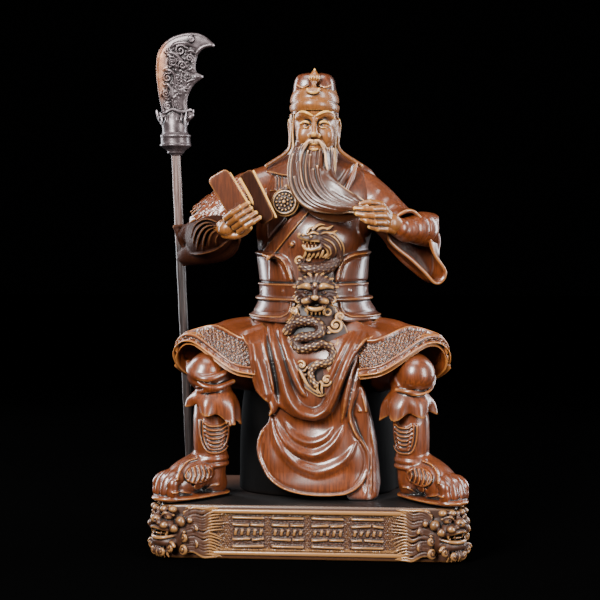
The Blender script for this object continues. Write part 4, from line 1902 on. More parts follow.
def leg_piece(s):
    """One leg, from the thigh to the boot."""
    side = "left" if s > 0 else "right"
    toe = np.array([-108.5, -64.5]) if s < 0 else np.array([109.5, -65.5])
    heel = np.array([-80, -34]) if s < 0 else np.array([82, -35])
    low, high = ((44, -82, -1), (126, -2, 122)) if s > 0 else ((-126, -82, -1), (-44, -2, 122))
    clay = Clay(low, high, 0.66)
    # Thigh, knee and the gathered trouser below it
    clay.limb(sided(s, [(52, -10, 100, 19), (68, -28, 102, 17), (80, -42, 100, 15)]), 2.0)
    clay.ball((81.6 * s, -45.5, 98.6), (14.8, 15.4, 15.0), (0, 0, 0), 1.2)
    if s > 0:
        clay.limb([
            (93.6, -38, 104, 1.0), (95.8, -42, 94, 1.2), (91, -52, 86, 1.2), (80, -59.6, 84.4, 1.2),
            (70, -52, 87, 1.0),
        ], 0.8)
        clay.limb([(66.4, -44, 108, 1.1), (65.4, -48, 98, 1.3), (68.4, -52, 90, 1.2)], 1.2)
    else:
        clay.limb([
            (-96, -40, 106, 2), (-92, -54, 100, 2.6), (-80, -61.4, 95, 3.0), (-68, -56, 98, 2.6),
            (-60, -46, 104, 2),
        ], 2.6)
        clay.limb([(-94, -46, 94, 1.6), (-84, -58.4, 90.4, 2.2), (-72, -58, 88, 2.6), (-60, -48, 92, 2)], 2.0)
        clay.limb([(-90, -56, 98.6, 1.4), (-80, -61.6, 92.4, 1.4), (-68, -58, 92.6, 1.4)], 1.6, cut=True)
    clay.limb(sided(s, [(76, -40, 92, 14.5), (76, -42, 84, 13)]), 2.0)
    clay.limb(sided(s, [(87, -52, 84.6, 1.4), (78, -59, 86, 1.9), (67, -55, 87.4, 1.5)]), 1.5)
    # Greave and boot shaft
    greave = sided(s, [
        (77, -42, 88, 12.4), (77.6, -41.5, 68, 13.8), (78.6, -40.5, 48, 13.4), (79.6, -38.5, 30, 12.0),
        (80, -38, 18, 12.4),
    ])
    clay.limb(greave, 1.0, steps=10)
    centre = np.array([75.5 * s, -43.5, 0])
    cuff = cuff_rings(s, centre[0], centre[1], 87, 67)
    clay.loft(cuff, 1.5)
    hollow = []
    for ring in cuff:
        share = 1 - 2.6 / np.linalg.norm((ring - centre)[:, :2], axis=1, keepdims=True)
        moved = ring.copy()
        moved[:, :2] = centre[:2] + (ring[:, :2] - centre[:2]) * share
        hollow.append(moved)
    hollow.append(hollow[-1] - (0, 0, 6))
    clay.loft(hollow[8:], 0.6, cut=True)
    # The greave again, because the hollow cuts into it
    leg = Clay(low, high, 0.66)
    leg.limb(greave, 1.0, steps=10)
    clay.form = blended_low(clay.form, leg.form, 0.8)
    # Ankle band
    for z, r, thick in ((34.6, 13.2, 2.2), (31.0, 13.6, 2.8), (26.4, 14.6, 2.0)):
        clay.limb(
            [(*p, thick) for p in ring_of((79.6 * s, -38.3, z), r - 1.4, (0.05 * s, 0, 1), 28)],
            0.8,
            steps=1,
        )
    # Boot
    ahead = (toe - heel) / np.linalg.norm(toe - heel)
    beside = np.array([-ahead[1], ahead[0]])

    def at_boot(forward, across, z):
        p = heel + ahead * forward + beside * across
        return (p[0], p[1], z)

    length = np.linalg.norm(toe - heel)
    clay.limb([
        (80 * s, -38, 27, 13),
        (*at_boot(12, 0, 22), 14),
        (*at_boot(24, 0, 17.5), 14),
        (*at_boot(length - 8, 0, 13), 12.6),
    ], 2.0, steps=8)
    clay.ball(at_boot(0, 0, 11), (13.5, 13, 12), soft=3)
    sole = [
        (*at_boot(-4, 0, 3), 12.4, 0.28),
        (*at_boot(14, 0, 2.8), 14.4, 0.24),
        (*at_boot(30, 0, 3), 15, 0.24),
        (*at_boot(length - 1, 0, 3.4), 13.6, 0.27),
    ]
    clay.limb(sole, 0.5, across=(0, 0, 1), steps=8)
    # Toe cap of big smooth lobes, with scallops behind it
    clay.ball(at_boot(length - 3, 0, 14), (10, 11, 9.6), soft=0.8)
    for across in (-9.4, -3.3, 3.3, 9.4):
        short = 0.3 * abs(across)
        rib = [
            (-7.6, 0.7, 21.6 - short), (-3, 0.95, 21.6 - short), (2, 1.0, 18.6 - short),
            (5.2 - short, 0.98, 13.4 - 0.5 * short), (5.8 - short, 0.94, 8.4), (4 - short, 0.9, 5.4),
        ]
        clay.limb([(*at_boot(length + f, across * a, z), 4.3) for f, a, z in rib], 0.2, steps=6)
    clay.limb(
        [(*at_boot(length - 14.5, a, 22.4 - 0.05 * a * a), 1.4) for a in (-13, -7, 0, 7, 13)],
        1.5,
        cut=True,
    )
    # Ribbed pad over the instep with a laced strip beside it, and a scroll below
    pad = Relief.over(clay)
    px, pz = 84.6 * s, 21.4
    oval = [(px + 9.6 * math.cos(a), pz + 7.0 * math.sin(a)) for a in np.linspace(0, 2 * np.pi, 17)[:-1]]
    pad.patch(oval, 1.6, 1.4)
    pad.stroke(oval + [oval[0]], 1.2, 1.4, steps=3, add=True)
    for k in range(5):
        x = px - 6.4 + 3.2 * k
        tall = 5.4 * math.sqrt(1 - ((x - px) / 9.8) ** 2)
        pad.stroke([(x - 0.8, pz + tall), (x + 0.6, pz), (x - 0.8, pz - tall)], 1.2, 1.3, steps=4, add=True)
    strip = [
        (px + 3 * s, pz + 11.6), (px + 9.4 * s, pz + 9.6), (px + 13.6 * s, pz + 4.4),
        (px + 14.6 * s, pz - 2),
    ]
    pad.stroke(strip, 2.2, 1.7, steps=6)
    for x, z in smooth_line(strip, 4)[:, :2]:
        pad.bead(x, z, 1.0, 2.6)
    pad.scroll(px + 1 * s, 11.4, 2.6, 1.4, 90, -s, 1.1, 1.2)
    pad.stroke([
        (px - 13 * s, 11), (px - 8 * s, 10.6), (px - 1 * s, 6.6), (px + 5 * s, 6), (px + 12 * s, 8.8),
        (px + 18 * s, 9.2),
    ], 1.3, 1.3, steps=5)
    clay.emboss(pad, (-84, -36))
    # Ribbed insets on the greave
    relief = Relief.over(clay)
    mid, half, top, low_z = (-73.2, 9.4, 62, 38.4) if s < 0 else (72.4, 7.6, 60, 39.4)
    for grow in (0.0, 2.6):
        frame_line = [(mid + k * (half * f + grow * g), z - grow * h) for k, f, g, h, z in (
            (-1, 1, 1, 0, top), (-1, 0.98, 1, 0, 51), (-1, 0.8, 0.8, 0.5, 44),
            (-1, 0.42, 0.4, 0.9, low_z + 1.2), (1, 0.42, 0.4, 0.9, low_z + 1.2), (1, 0.8, 0.8, 0.5, 44),
            (1, 0.98, 1, 0, 51), (1, 1, 1, 0, top),
        )]
        relief.stroke(frame_line, 1.3, 1.6, steps=5)
    for k in range(6):
        z = 58.5 - k * 3.3
        reach = half * (0.86 - 0.1 * max(0, k - 2))
        relief.stroke([
            (mid - reach, z + 1.8), (mid - reach * 0.5, z - 0.4), (mid + reach * 0.5, z - 0.4),
            (mid + reach, z + 1.8),
        ], 1.5, 1.5, steps=6)
    clay.emboss(relief, (-80, -42))
    clay.plane((0, 0, 0.2), (0, 0, -1), 0.3)
    return cast(clay, "leg_" + side, stain("robe"), smoothing=1)


def cloak_piece():
    clay = Clay((-76, -46, -3), (80, 76, 252), 1.5)

    def folds(t, a):
        deep = (0.012 + 0.03 * (1 - t)) * np.cos(a * 10 + 0.6 * np.sin(a * 3))
        return 1 + deep * np.clip(0.4 - np.cos(a), 0, 1)

    levels = [
        [-2, 3, 26, 67, 43], [30, 2.6, 25, 65, 42], [60, 2, 24, 62, 40], [100, 0, 20, 56, 42],
        [140, -1, 20, 42, 38], [170, -2, 20, 38, 34], [210, -1, 18, 42, 32], [246, 0, 16, 42, 24],
    ]
    clay.loft(tower(levels, 150, 120, folds), 2)
    clay.loft(tower([[-2, 1.5, 8, 63, 44], [60, 0.5, 7, 60.5, 43], [112, -0.5, 6, 52, 42]], 60, 30), 3)
    clay.plane((0, 0, 0.2), (0, 0, -1), 0.3)
    return cast(clay, "cloak_and_seat", stain("shade"), smoothing=3)


# Book, plinth and polearm


def rounded_board(name, centre, size, turn, corner, bevel):
    """A board with rounded corners: its width along x, thickness along y and height along z."""
    made = add_box((0, 0, 0), size)
    bpy.ops.object.transform_apply(location=False, rotation=False, scale=True)
    bpy.ops.object.mode_set(mode="EDIT")
    through = lambda _, a, b: abs(a.y - b.y) > abs(a.x - b.x) + abs(a.z - b.z)
    bevel_edges(made, through, corner, 6)
    bpy.ops.mesh.select_all(action="SELECT")
    bpy.ops.mesh.bevel(offset=bevel * MM, segments=3, affect="EDGES")
    bpy.ops.object.mode_set(mode="OBJECT")
    made.rotation_mode = "XYZ"
    made.rotation_euler = [math.radians(d) for d in turn]
    made.location = [v * MM for v in centre]
    return settle(name)


def book_pieces():
    made = []
    leaves = (
        ("book_leaf_outer", (-60.2, -51.0, 233.6 + PLINTH_HEIGHT), (17.6, 4.4, 45), (4, -31, 8)),
        ("book_leaf_inner", (-41.2, -45.6, 234.8 + PLINTH_HEIGHT), (14.6, 4.0, 43), (4, -27, -26)),
    )
    for name, centre, size, turn in leaves:
        board = rounded_board(name, centre, size, turn, 4.2, 0.8)
        bpy.ops.object.shade_smooth()
        softer = board.modifiers.new("soft", "SUBSURF")
        softer.levels = softer.render_levels = 1
        bpy.ops.object.modifier_apply(modifier="soft")
        made.append(finish_piece(board, stain("dusk" if name == "book_leaf_inner" else "armour")))
    # Page edges: a thin bright line down the right side of each leaf, and one in the gutter
    clay = Clay((-76, -62, 206), (-20, -34, 266), 0.5)
    for top, foot, r in (
        ((-61.4, -51.8, 253.0), (-42.6, -50.2, 221.4), 1.0),
        ((-43.4, -50.2, 254.6), (-26.2, -50.0, 219.4), 1.0),
        ((-54.4, -45.6, 248.6), (-41, -44.4, 224), 1.3),
    ):
        clay.limb([(*top, r), (*((np.array(top) + foot) / 2 + (0.2, -0.4, 0)), r), (*foot, r)], 0.3, steps=4)
    made.append(cast(clay, "book_page_edges", stain("skin"), smoothing=1))
    return made


def bar(name, centre, size, bevel, material):
    """A bar with eased edges."""
    add_box(centre, size)
    made = settle(name)
    bpy.ops.object.mode_set(mode="EDIT")
    bpy.ops.mesh.select_all(action="SELECT")
    bpy.ops.mesh.bevel(offset=bevel * MM, segments=3, affect="EDGES")
    bpy.ops.object.mode_set(mode="OBJECT")
    bpy.ops.object.shade_smooth_by_angle(angle=math.radians(50))
    return finish_piece(made, material)


def panel_sizes():
    """The plinth's corner radius and its panel's end margin, edge margin and depth."""
    s = sizes()
    return s.plinth_corner / MM, s.panel_end / MM, s.panel_edge / MM, s.panel_sink / MM


def plinth_size():
    """The plinth's width and depth."""
    return sizes().plinth_width / MM, sizes().plinth_depth / MM


def plinth_block(width, depth, height):
    """The plinth's body, with its upright corners rounded and its front panel sunk."""
    corner, end, edge, sink = panel_sizes()
    add_box((0, 0, height / 2), (width, depth, height))
    made = settle("plinth_block")
    bpy.ops.object.mode_set(mode="EDIT")
    bevel_edges(made, lambda _, a, b: abs(a.z - b.z) > 0.5 * height * MM, corner, 8)
    # The recessed panel is pushed in from the front face
    bpy.ops.mesh.select_mode(type="FACE")
    bpy.ops.mesh.select_all(action="DESELECT")
    work = bmesh.from_edit_mesh(made.data)
    for face in work.faces:
        face.select = face.normal.y < -0.99 and face.calc_area() > 0.4 * width * height * MM * MM
    bmesh.update_edit_mesh(made.data)
    bpy.ops.mesh.inset(thickness=edge * MM, depth=0)
    narrower = (width - 2 * end) / (width - 2 * corner - 2 * edge)
    bpy.ops.transform.resize(value=(narrower, 1, 1), center_override=(0, -depth / 2 * MM, height / 2 * MM))
    bpy.ops.mesh.inset(thickness=0.4 * MM, depth=-sink * MM)

    def on_rim(edge, a, b):
        level = abs(a.z - b.z) < 1e-5 and (a.z > (height - 0.1) * MM or a.z < 0.1 * MM)
        return level and len(edge.link_faces) == 2 and edge.calc_face_angle(0) > 1

    bevel_edges(made, on_rim, 2.4, 6)
    bpy.ops.object.mode_set(mode="OBJECT")
    bpy.ops.object.shade_smooth_by_angle(angle=math.radians(40))
    return finish_piece(made, stain("plinth"))


def plinth_mouldings(width, depth):
    """Long mouldings above and below the panel, and short ones at its ends."""
    _, end, edge, _ = panel_sizes()
    front = -depth / 2
    wide, raise_by = 3.2, 1.5
    long = width - 2 * end + 2 * wide
    for name, z in (("moulding_low", edge - wide / 2), ("moulding_high", PLINTH_HEIGHT - edge + wide / 2)):
        bar(name, (0, front + 0.6, z), (long, 2 * raise_by + 1.2, wide), 1.1, stain("plinth"))
    for s in SIDES:
        name = "moulding_end_" + ("left" if s > 0 else "right")
        x = (width / 2 - end + 0.7) * s
        bar(
            name, (x, front + 0.6, PLINTH_HEIGHT / 2), (1.6, 2.4, PLINTH_HEIGHT - 2 * edge + 1), 0.6,
            stain("plinth"),
        )


def panel_piece(width, front, height):
    """The panel's stippled ground, with four groups of plain strokes raised on it."""
    chance = np.random.default_rng(11)
    step = 0.36
    _, end, edge, sink = panel_sizes()
    across, tall = width - 2 * end, height - 2 * edge
    columns, rows = int(across / step), int(tall / step)
    x = np.linspace(-across / 2, across / 2, columns)
    z = np.linspace(edge, height - edge, rows)
    relief = Relief(x, z)
    # Ground of small beads in loose rows
    pitch = 1.7
    for n in range(int(tall / (0.87 * pitch))):
        for m in range(int(across / pitch)):
            off = chance.uniform(-0.28, 0.28, 2)
            bead_x = -across / 2 + (m + 0.5 + 0.5 * (n % 2)) * pitch + off[0]
            relief.bead(bead_x, edge + (n + 0.5) * 0.87 * pitch + off[1], 0.8, 0.6)
    ground = relief.height.copy()
    relief.height[:] = 0
    size = tall * 0.84

    def dash(group, a, b, c, d):
        """A bar between two places of a group."""
        middle = (group - 1.5) * size * 1.25
        lean = chance.uniform(-0.02, 0.02)
        ends = [
            (middle + a * size, height / 2 + (b - lean) * size),
            (middle + c * size, height / 2 + (d + lean) * size),
        ]
        relief.stroke(ends, 1.2, 1.7, steps=1, sharp=True)

    # Groups of plain strokes: rows of long bars and half bars, and one row of short ticks
    for group in range(4):
        for row in range(5):
            level = (row - 2) * 0.225
            cut = chance.uniform(-0.16, 0.16)
            if row == 2:
                for n in range(5):
                    at = -0.4 + 0.2 * n
                    dash(group, at, level - 0.05, at + 0.02, level + 0.05)
            else:
                halves, whole = ((-0.46, cut - 0.07), (cut + 0.07, 0.46)), ((-0.46, 0.46),)
                for low, high in halves if row % 2 else whole:
                    dash(group, low, level, high, level)
    rise = 0.2 + np.maximum(ground, relief.height + 0.3 * (relief.height > 0.1))
    points = np.zeros((columns, rows, 3))
    points[..., 0], points[..., 2] = x[:, None], z[None, :]
    points[..., 1] = front + sink - 0.1 - rise
    return shell("plinth_panel", points, np.full((columns, rows), 1.6), stain("plinth"), rise=0)


def lion_piece(s, width, depth):
    """A guardian's head at a front corner of the plinth, with its mane."""
    side = "left" if s > 0 else "right"
    facing = math.radians(42 * s)
    out = np.array([math.sin(facing), -math.cos(facing), 0])
    aside = np.array([math.cos(facing), math.sin(facing), 0])
    centre = np.array([(width / 2 - 10) * s, -depth / 2 + 9.5, 0])
    low, high = ((60, -90, -1), (132, -26, 46)) if s > 0 else ((-132, -90, -1), (-60, -26, 46))
    clay = Clay(low, high, 0.55)

    def spot(across, forward, z):
        p = centre + aside * across + out * forward
        return (p[0], p[1], z)

    def lump(across, forward, z, radii, tilt=0, soft=0.5, cut=False):
        clay.ball(spot(across, forward, z), radii, (0, tilt, 42 * s), soft, cut)

    def lock(stations, soft=0.3):
        clay.limb([(*spot(a, f, z), r) for a, f, z, r in stations], soft)

    def curl(a, f, z, r, turn, spin):
        made = []
        for t in np.linspace(0, 1, 16):
            angle = math.radians(turn) + spin * 2 * math.pi * 1.5 * t
            rr = r * (1 - 0.88 * t)
            made.append((
                a + rr * math.cos(angle), f + 1.4 * t, z + rr * math.sin(angle), 1.35 * (1 - 0.2 * t),
            ))
        lock(made, 0.2)

    lump(0, -4, 20.5, (19, 16, 20.5), soft=1)
    # Muzzle, nose and open jaws
    lump(0, 10, 26.5, (12, 9, 6.4), soft=1)
    lump(0, 9, 13.4, (12.5, 8.4, 5.2), soft=1)
    lump(0, 13, 20.6, (12.6, 8, 2.5), cut=True, soft=0.5)
    lump(0, 17.6, 31.4, (4.8, 4.2, 3.8), soft=0.5)
    lump(0, 12.2, 20, (5, 4.4, 1.4), soft=0.4)
    lock([
        (-11, 9, 21.8, 1.3), (-7, 16.4, 24, 1.4), (0, 18.6, 25.2, 1.5), (7, 16.4, 24, 1.4),
        (11, 9, 21.8, 1.3),
    ])
    lock([
        (-11.4, 8, 18.6, 1.3), (-7, 15, 17.2, 1.5), (0, 17.6, 16.8, 1.6), (7, 15, 17.2, 1.5),
        (11.4, 8, 18.6, 1.3),
    ])
    for k in SIDES:
        lump(3.6 * k, 17.6, 28.6, (2.6, 2.4, 2.0), soft=0.3)
        lump(2.4 * k, 21, 31, (0.9, 1.3, 0.9), soft=0.2, cut=True)
        lump(6.8 * k, 15.2, 27, (4.2, 4.2, 3.4), soft=0.5)
        # Eye with its lids, under a heavy brow of two balls
        lump(7.6 * k, 11.6, 33.4, (3.6, 3.4, 3.2), soft=0.2)
        lump(7.9 * k, 14.9, 33.2, (1.0, 1.0, 1.0), soft=0.1, cut=True)
        lock(sided(k, [(3.6, 14.8, 33.6, 0.9), (7.6, 14.6, 36.4, 1.1), (12, 10, 34.4, 0.9)]), 0.2)
        lump(4.6 * k, 13, 38.6, (3.6, 3.2, 2.8), soft=0.3)
        lump(10.4 * k, 10, 38.8, (3.8, 3.4, 2.8), soft=0.3)
        # Ear, cheek and the balls of the mane
        lump(16 * k, -1, 37, (2.6, 3.4, 5.2), 40 * k, soft=0.4)
        lump(16.4 * k, 1.6, 37, (1.2, 1.6, 3.4), 40 * k, soft=0.3, cut=True)
        lump(15.2 * k, 6, 29.4, (4.2, 4.0, 4.2), soft=0.4)
        lump(19 * k, 0, 30.4, (3.0, 3.0, 3.0), soft=0.3)
        lump(12.4 * k, 10.6, 24.6, (3.8, 3.4, 3.4), soft=0.5)
        for tooth, size in ((4, 1.3), (9, 2.0)):
            lock([
                (tooth * k, 16.6 - 0.3 * tooth, 23.6, size * 0.7),
                (tooth * k, 17 - 0.3 * tooth, 19.2, size * 0.2),
            ], 0.1)
            lock([
                ((tooth - 1.6) * k, 15.6 - 0.2 * tooth, 17.6, size * 0.6),
                ((tooth - 1.6) * k, 16 - 0.2 * tooth, 20.6, size * 0.2),
            ], 0.1)
        for a, f, z, r, turn in (
            (11.4, 12.4, 9.8, 4.2, 20), (17, 4.4, 8.4, 4.0, 200), (17.8, 4, 17.6, 3.8, 100),
            (20.4, -3, 23.6, 3.4, 0), (20.6, -3.6, 12.4, 3.6, 260), (4.6, 15.4, 6.6, 3.2, 160),
        ):
            curl(a * k, f, z, r, turn if k > 0 else 180 - turn, k)
    lump(0, 13.6, 38, (2.4, 2.4, 2.4), soft=0.3)
    lock([(0, 14.6, 36, 1.8), (0, 17, 33, 2.0)], 0.8)
    for n in range(7):
        a = -6.6 + 2.2 * n
        lock([
            (a, 15.4 - 0.08 * a * a, 9.6, 1.0), (a * 1.1, 16.6 - 0.08 * a * a, 5.6, 1.1),
            (a * 1.2, 15 - 0.08 * a * a, 1.8, 0.6),
        ], 0.2)
    # Mane that streams back in fine locks along the plinth's front and side
    chance = np.random.default_rng(5 + s)
    front = -depth / 2
    keep = lambda z: min(max(z, 1.8), PLINTH_HEIGHT - 2)
    for n in range(19):
        share = n / 18
        z0 = 4 + 34 * share
        fan = (share - 0.5) * 9
        wave = chance.uniform(-0.7, 0.7)
        far = width / 2 - 46 - 5 * math.sin(math.pi * share) + chance.uniform(-2.5, 2.5)
        path = [
            (width / 2 - 20, 2.8, z0 * 0.9 + 2, 1.2),
            (width / 2 - 27, 2.6, z0 + 1.6 + wave, 1.3),
            (width / 2 - 34, 2.0, z0 - 0.8 + fan * 0.4 + wave, 1.15),
            (width / 2 - 40, 1.2, z0 + 1.2 + fan * 0.8, 0.9),
            (far, 0.3, z0 + fan + 2.2 * math.copysign(1, fan), 0.3),
        ]
        clay.limb([(x * s, front - y, keep(z), r) for x, y, z, r in path], 0.15)
        side_path = [
            (2.4, 20, z0, 1.3), (2.2, 27, z0 - 1 + wave, 1.3), (1.4, 34, z0 + 1 + wave, 1.1),
            (0.5, 42, z0 + fan * 0.6, 0.4),
        ]
        clay.limb([((width / 2 + x) * s, front + y, keep(z), r) for x, y, z, r in side_path], 0.15)
    clay.plane((0, 0, 0.3), (0, 0, -1), 0.3)
    clay.plane((0, 0, PLINTH_HEIGHT + 0.4), (0, 0, 1), 0.8)
    return cast(clay, "plinth_lion_" + side, stain("plinth"), rise=0, smoothing=1)


# The shaft stands 6 mm deep in the plinth and leans to the left and front
FOOT = Vector((-103, 19, PLINTH_HEIGHT - 6))
AXIS = Vector((-10.5, -9, 276)).normalized()


def turned_profile(name, profile, material):
    """A turned piece on the shaft's axis: its profile of radius and height from the foot, spun round."""
    deselect()
    mesh = bpy.data.meshes.new(name)
    made = bpy.data.objects.new(name, mesh)
    bpy.context.scene.collection.objects.link(made)
    bpy.context.view_layer.objects.active = made
    made.select_set(True)
    work = bmesh.new()
    verts = [work.verts.new((r * MM, 0, z * MM)) for r, z in profile]
    for a, b in zip(verts, verts[1:]):
        work.edges.new((a, b))
    work.to_mesh(mesh)
    work.free()
    bpy.ops.object.mode_set(mode="EDIT")
    bpy.ops.mesh.select_all(action="SELECT")
    bpy.ops.mesh.spin(steps=40, angle=2 * math.pi, center=(0, 0, 0), axis=(0, 0, 1))
    bpy.ops.mesh.select_all(action="SELECT")
    bpy.ops.mesh.remove_doubles(threshold=1e-6)
    bpy.ops.mesh.normals_make_consistent(inside=False)
    bpy.ops.object.mode_set(mode="OBJECT")
    made.rotation_mode = "QUATERNION"
    made.rotation_quaternion = Vector((0, 0, 1)).rotation_difference(AXIS)
    made.location = FOOT * MM
    settle(name)
    bpy.ops.object.shade_smooth_by_angle(angle=math.radians(38))
    return finish_piece(made, material, SHAFT)


def shaft_pieces():
    """The rod with its slight hand-turned swells, and the ferrule at its foot."""
    paint = shaft_paint()
    r = sizes().shaft_diameter / 2 / MM
    band = sizes().ferrule_diameter / 2 / MM
    swells = [(r + 0.12 * math.sin(k * 1.7), 6 + 9 * k) for k in range(30)]
    rod = [(0, 0.3), (r, 0.3)] + swells + [(r, 275.4), (0, 275.4)]
    steps = [(-0.4, 7), (0, 7.6), (0, 9.4), (-0.5, 10), (-0.5, 16.4), (0, 17), (0, 19), (-0.6, 20)]
    ferrule = [(r - 0.1, 7)] + [(band + out, z) for out, z in steps] + [(r - 0.1, 20)]
    return (
        turned_profile("polearm_rod", rod, paint),
        turned_profile("polearm_ferrule", ferrule, paint),
    )


BLADE = [
    (-123.8, 297), (-124.9, 306.4), (-126.4, 314.5), (-127.7, 323.6), (-128.7, 332.6), (-128.7, 340.6),
    (-127.9, 348.4), (-125.6, 354.2), (-121.5, 359.3), (-115.6, 363.4), (-108.7, 365.8), (-101.7, 366.8),
    (-95.4, 366.4), (-89.8, 364.4), (-85.5, 361.2), (-80.9, 356.2), (-87.5, 354.8), (-91.6, 353),
    (-94.6, 349.2), (-96.1, 344.7), (-96.6, 339.7), (-96.1, 335.6), (-93.6, 334.1), (-90.4, 331.9),
    (-93.1, 329.4), (-97.6, 326.1), (-100.6, 321.6), (-103.2, 315.5), (-103.9, 308.4), (-102, 304.6),
    (-98.2, 301.8), (-100, 298.4), (-104, 297),
]


def polearm_head_piece():
    clay = Clay((-134, -8, 266), (-76, 26, 370), 0.45)
    relief = Relief.over(clay)
    signed = signed_to(relief, BLADE, 3)
    # The blade leans forward with the shaft
    middle = 8.6 - 0.0326 * (relief.z - 300) + 0 * relief.x
    # The blade thins towards its cutting edge on the left
    thin = np.clip(0.55 + (-signed) / 9.0, 0.35, 1.0)
    # Dragon, clouds and flame locks over the middle of the blade
    for x, z, radius, start, spin in (
        (-108.6, 352.6, 4.6, 30, 1), (-101, 346.4, 3.4, 300, 1), (-115.4, 343.6, 4.2, 120, -1),
        (-107, 340.6, 3.6, 200, -1), (-119.4, 331, 3.6, 60, 1), (-110.6, 330.4, 3.4, 200, -1),
        (-120.6, 318.6, 3.4, 20, -1), (-119.4, 308.4, 3.0, 80, 1), (-99.4, 361.6, 2.6, 90, 1),
        (-95.4, 331.6, 2.2, 0, 1),
    ):
        relief.scroll(x, z, radius, 1.5, start, spin, 0.9, 1.6)
    for path in (
        [(-117, 355), (-112, 358), (-105, 358.6), (-98, 356.4)],
        [(-120.6, 348), (-117, 351), (-112, 349), (-109, 345), (-112, 339)],
        [(-122.4, 338), (-118, 337), (-114, 334), (-113, 327), (-116, 321.6)],
        [(-123, 325), (-119, 325.6), (-116, 321), (-116.6, 315), (-120, 312.6)],
        [(-104, 351), (-100, 352.4), (-97, 350.6)],
        [(-104, 337), (-99.6, 338), (-98.4, 342)],
        [(-121.6, 302), (-117, 305.4), (-112, 304.6), (-107, 306)],
        [(-106, 326), (-101, 328.4), (-96.6, 329.6)],
    ):
        relief.stroke(path, 1.4, 1.7, taper=0.3, sharp=True)
        relief.stroke([(x + 1.9, z - 1.5) for x, z in path], 0.8, 1.1, taper=0.3, sharp=True)
    # Short wavy locks fill the ground between the scrolls
    chance = np.random.default_rng(3)
    for _ in range(110):
        x, z, turn = chance.uniform(-122.5, -99), chance.uniform(312, 358), chance.uniform(0, 2 * np.pi)
        bend, size = chance.uniform(-1.3, 1.3), chance.uniform(1.5, 2.4)
        path = [(x, z), (x + size * math.cos(turn), z + size * math.sin(turn)), (
            x + size * (math.cos(turn) + math.cos(turn + bend)),
            z + size * (math.sin(turn) + math.sin(turn + bend)),
        )]
        relief.stroke(path, 0.75, chance.uniform(0.9, 1.4), taper=0.3, sharp=True)
    for k in range(9):
        x, z = -104.6 - 1.3 * k, 330 - 0.6 * k
        path = [(x, z), (x - 1.0, z - 8), (x - 0.6, z - 15), (x + 1.2, z - 21)]
        relief.stroke([(a + chance.uniform(-0.2, 0.2), b) for a, b in path], 0.65, 0.8, taper=0.3, sharp=True)
    # The relief stops short of the rim, and of the plain foot on the right
    plain = smooth_step(relief.x, -111.5, -108.5) * smooth_step(relief.z, 322, 312)
    clear = smooth_step(-signed, 1.2, 2.8) * (1 - plain)
    raised = relief.height * clear + 0.5 * np.exp(-(((signed + 1.2) / 0.8) ** 2))
    half = 1.9 * thin + raised
    _, y, _ = clay.places(clay.whole())
    away = np.abs(y - middle[:, None, :]) - half[:, None, :]
    away = blended_high(away, np.broadcast_to(signed[:, None, :], away.shape), 0.8)
    clay.form = np.minimum(away, FAR).astype(np.float32)
    # Collar: a taper and a turned ring below a beast's open jaws
    base = Vector((-113.8, 9.6, 269.6))
    rings = tower([
        [268.8, -113.2, 9.8, 4.6, 4.6], [270.4, -113.2, 9.8, 5.4, 5.4], [273.6, -113.3, 9.7, 8.6, 8.6],
        [276, -113.4, 9.6, 11.4, 11.2], [281, -113.6, 9.5, 12.0, 11.6], [285.6, -113.8, 9.4, 11.2, 10.8],
        [288, -114, 9.3, 10.2, 9.6], [295, -114.4, 9.2, 10.4, 8.8], [301, -114.8, 9.0, 9.8, 6.6],
        [306, -115.4, 8.8, 7.6, 4.2],
    ], 48, 44)
    clay.loft(rings, 0.6)
    for z, r, thick in ((277.2, 12.0, 1.5), (284.4, 11.8, 1.4), (271.4, 6.4, 0.9)):
        clay.limb(
            [(*p, thick) for p in ring_of((-113.6, 9.5, z), r - thick * 0.5, (0, 0, 1), 28)], 0.4, steps=1,
        )
    for face in SIDES:
        y0 = lambda out: base.y + face * out
        for x, z, r, lift in (
            (-121.6, 299.6, 2.6, 6.4), (-107.6, 298.8, 2.6, 6.4), (-114.6, 301.4, 2.6, 6.8),
            (-118, 294.6, 2.2, 8.4), (-111, 294.4, 2.2, 8.4),
        ):
            clay.ball((x, y0(lift - 1.6), z), (r, r * 0.8, r), soft=0.4)
        for k in range(7):
            x = -124 + 3.1 * k
            clay.limb([
                (x, y0(6.4), 294, 0.9),
                (x + 0.6, y0(7.4), 297.6, 0.9),
                (x + (k - 3) * 0.5, y0(5.0), 303.4, 0.4),
            ], 0.25)
        clay.limb([
            (-126, y0(2.4), 298.4, 1.4),
            (-120.6, y0(6.4), 303, 1.3),
            (-114.6, y0(6), 305.4, 1.3),
            (-108, y0(5.4), 303.6, 1.3),
            (-101, y0(2), 305.6, 0.8),
        ], 0.4)
    clay.limb([(-104.6, base.y, 297, 2.2), (-100.6, base.y, 300.6, 1.6), (-99, base.y, 305, 0.7)], 0.5)
    clay.limb([(-124.6, base.y, 296, 2.2), (-127.6, base.y, 300.6, 1.5), (-129, base.y, 305, 0.7)], 0.5)
    return cast(clay, "polearm_blade", pewter_paint(), smoothing=1, node=HEAD)


# Ageing: how deep each point lies among its neighbours, and in the whole statue


def triangles_of(one):
    """A piece's points in millimetres, its normals and its triangles."""
    mesh = one.data
    points = np.empty(len(mesh.vertices) * 3, np.float32)
    mesh.vertices.foreach_get("co", points)
    normal = np.empty(len(points), np.float32)
    mesh.vertex_normals.foreach_get("vector", normal)
    mesh.calc_loop_triangles()
    triangles = np.empty(len(mesh.loop_triangles) * 3, np.int32)
    mesh.loop_triangles.foreach_get("vertices", triangles)
    return points.reshape(-1, 3) / MM, normal.reshape(-1, 3), triangles.reshape(-1, 3)


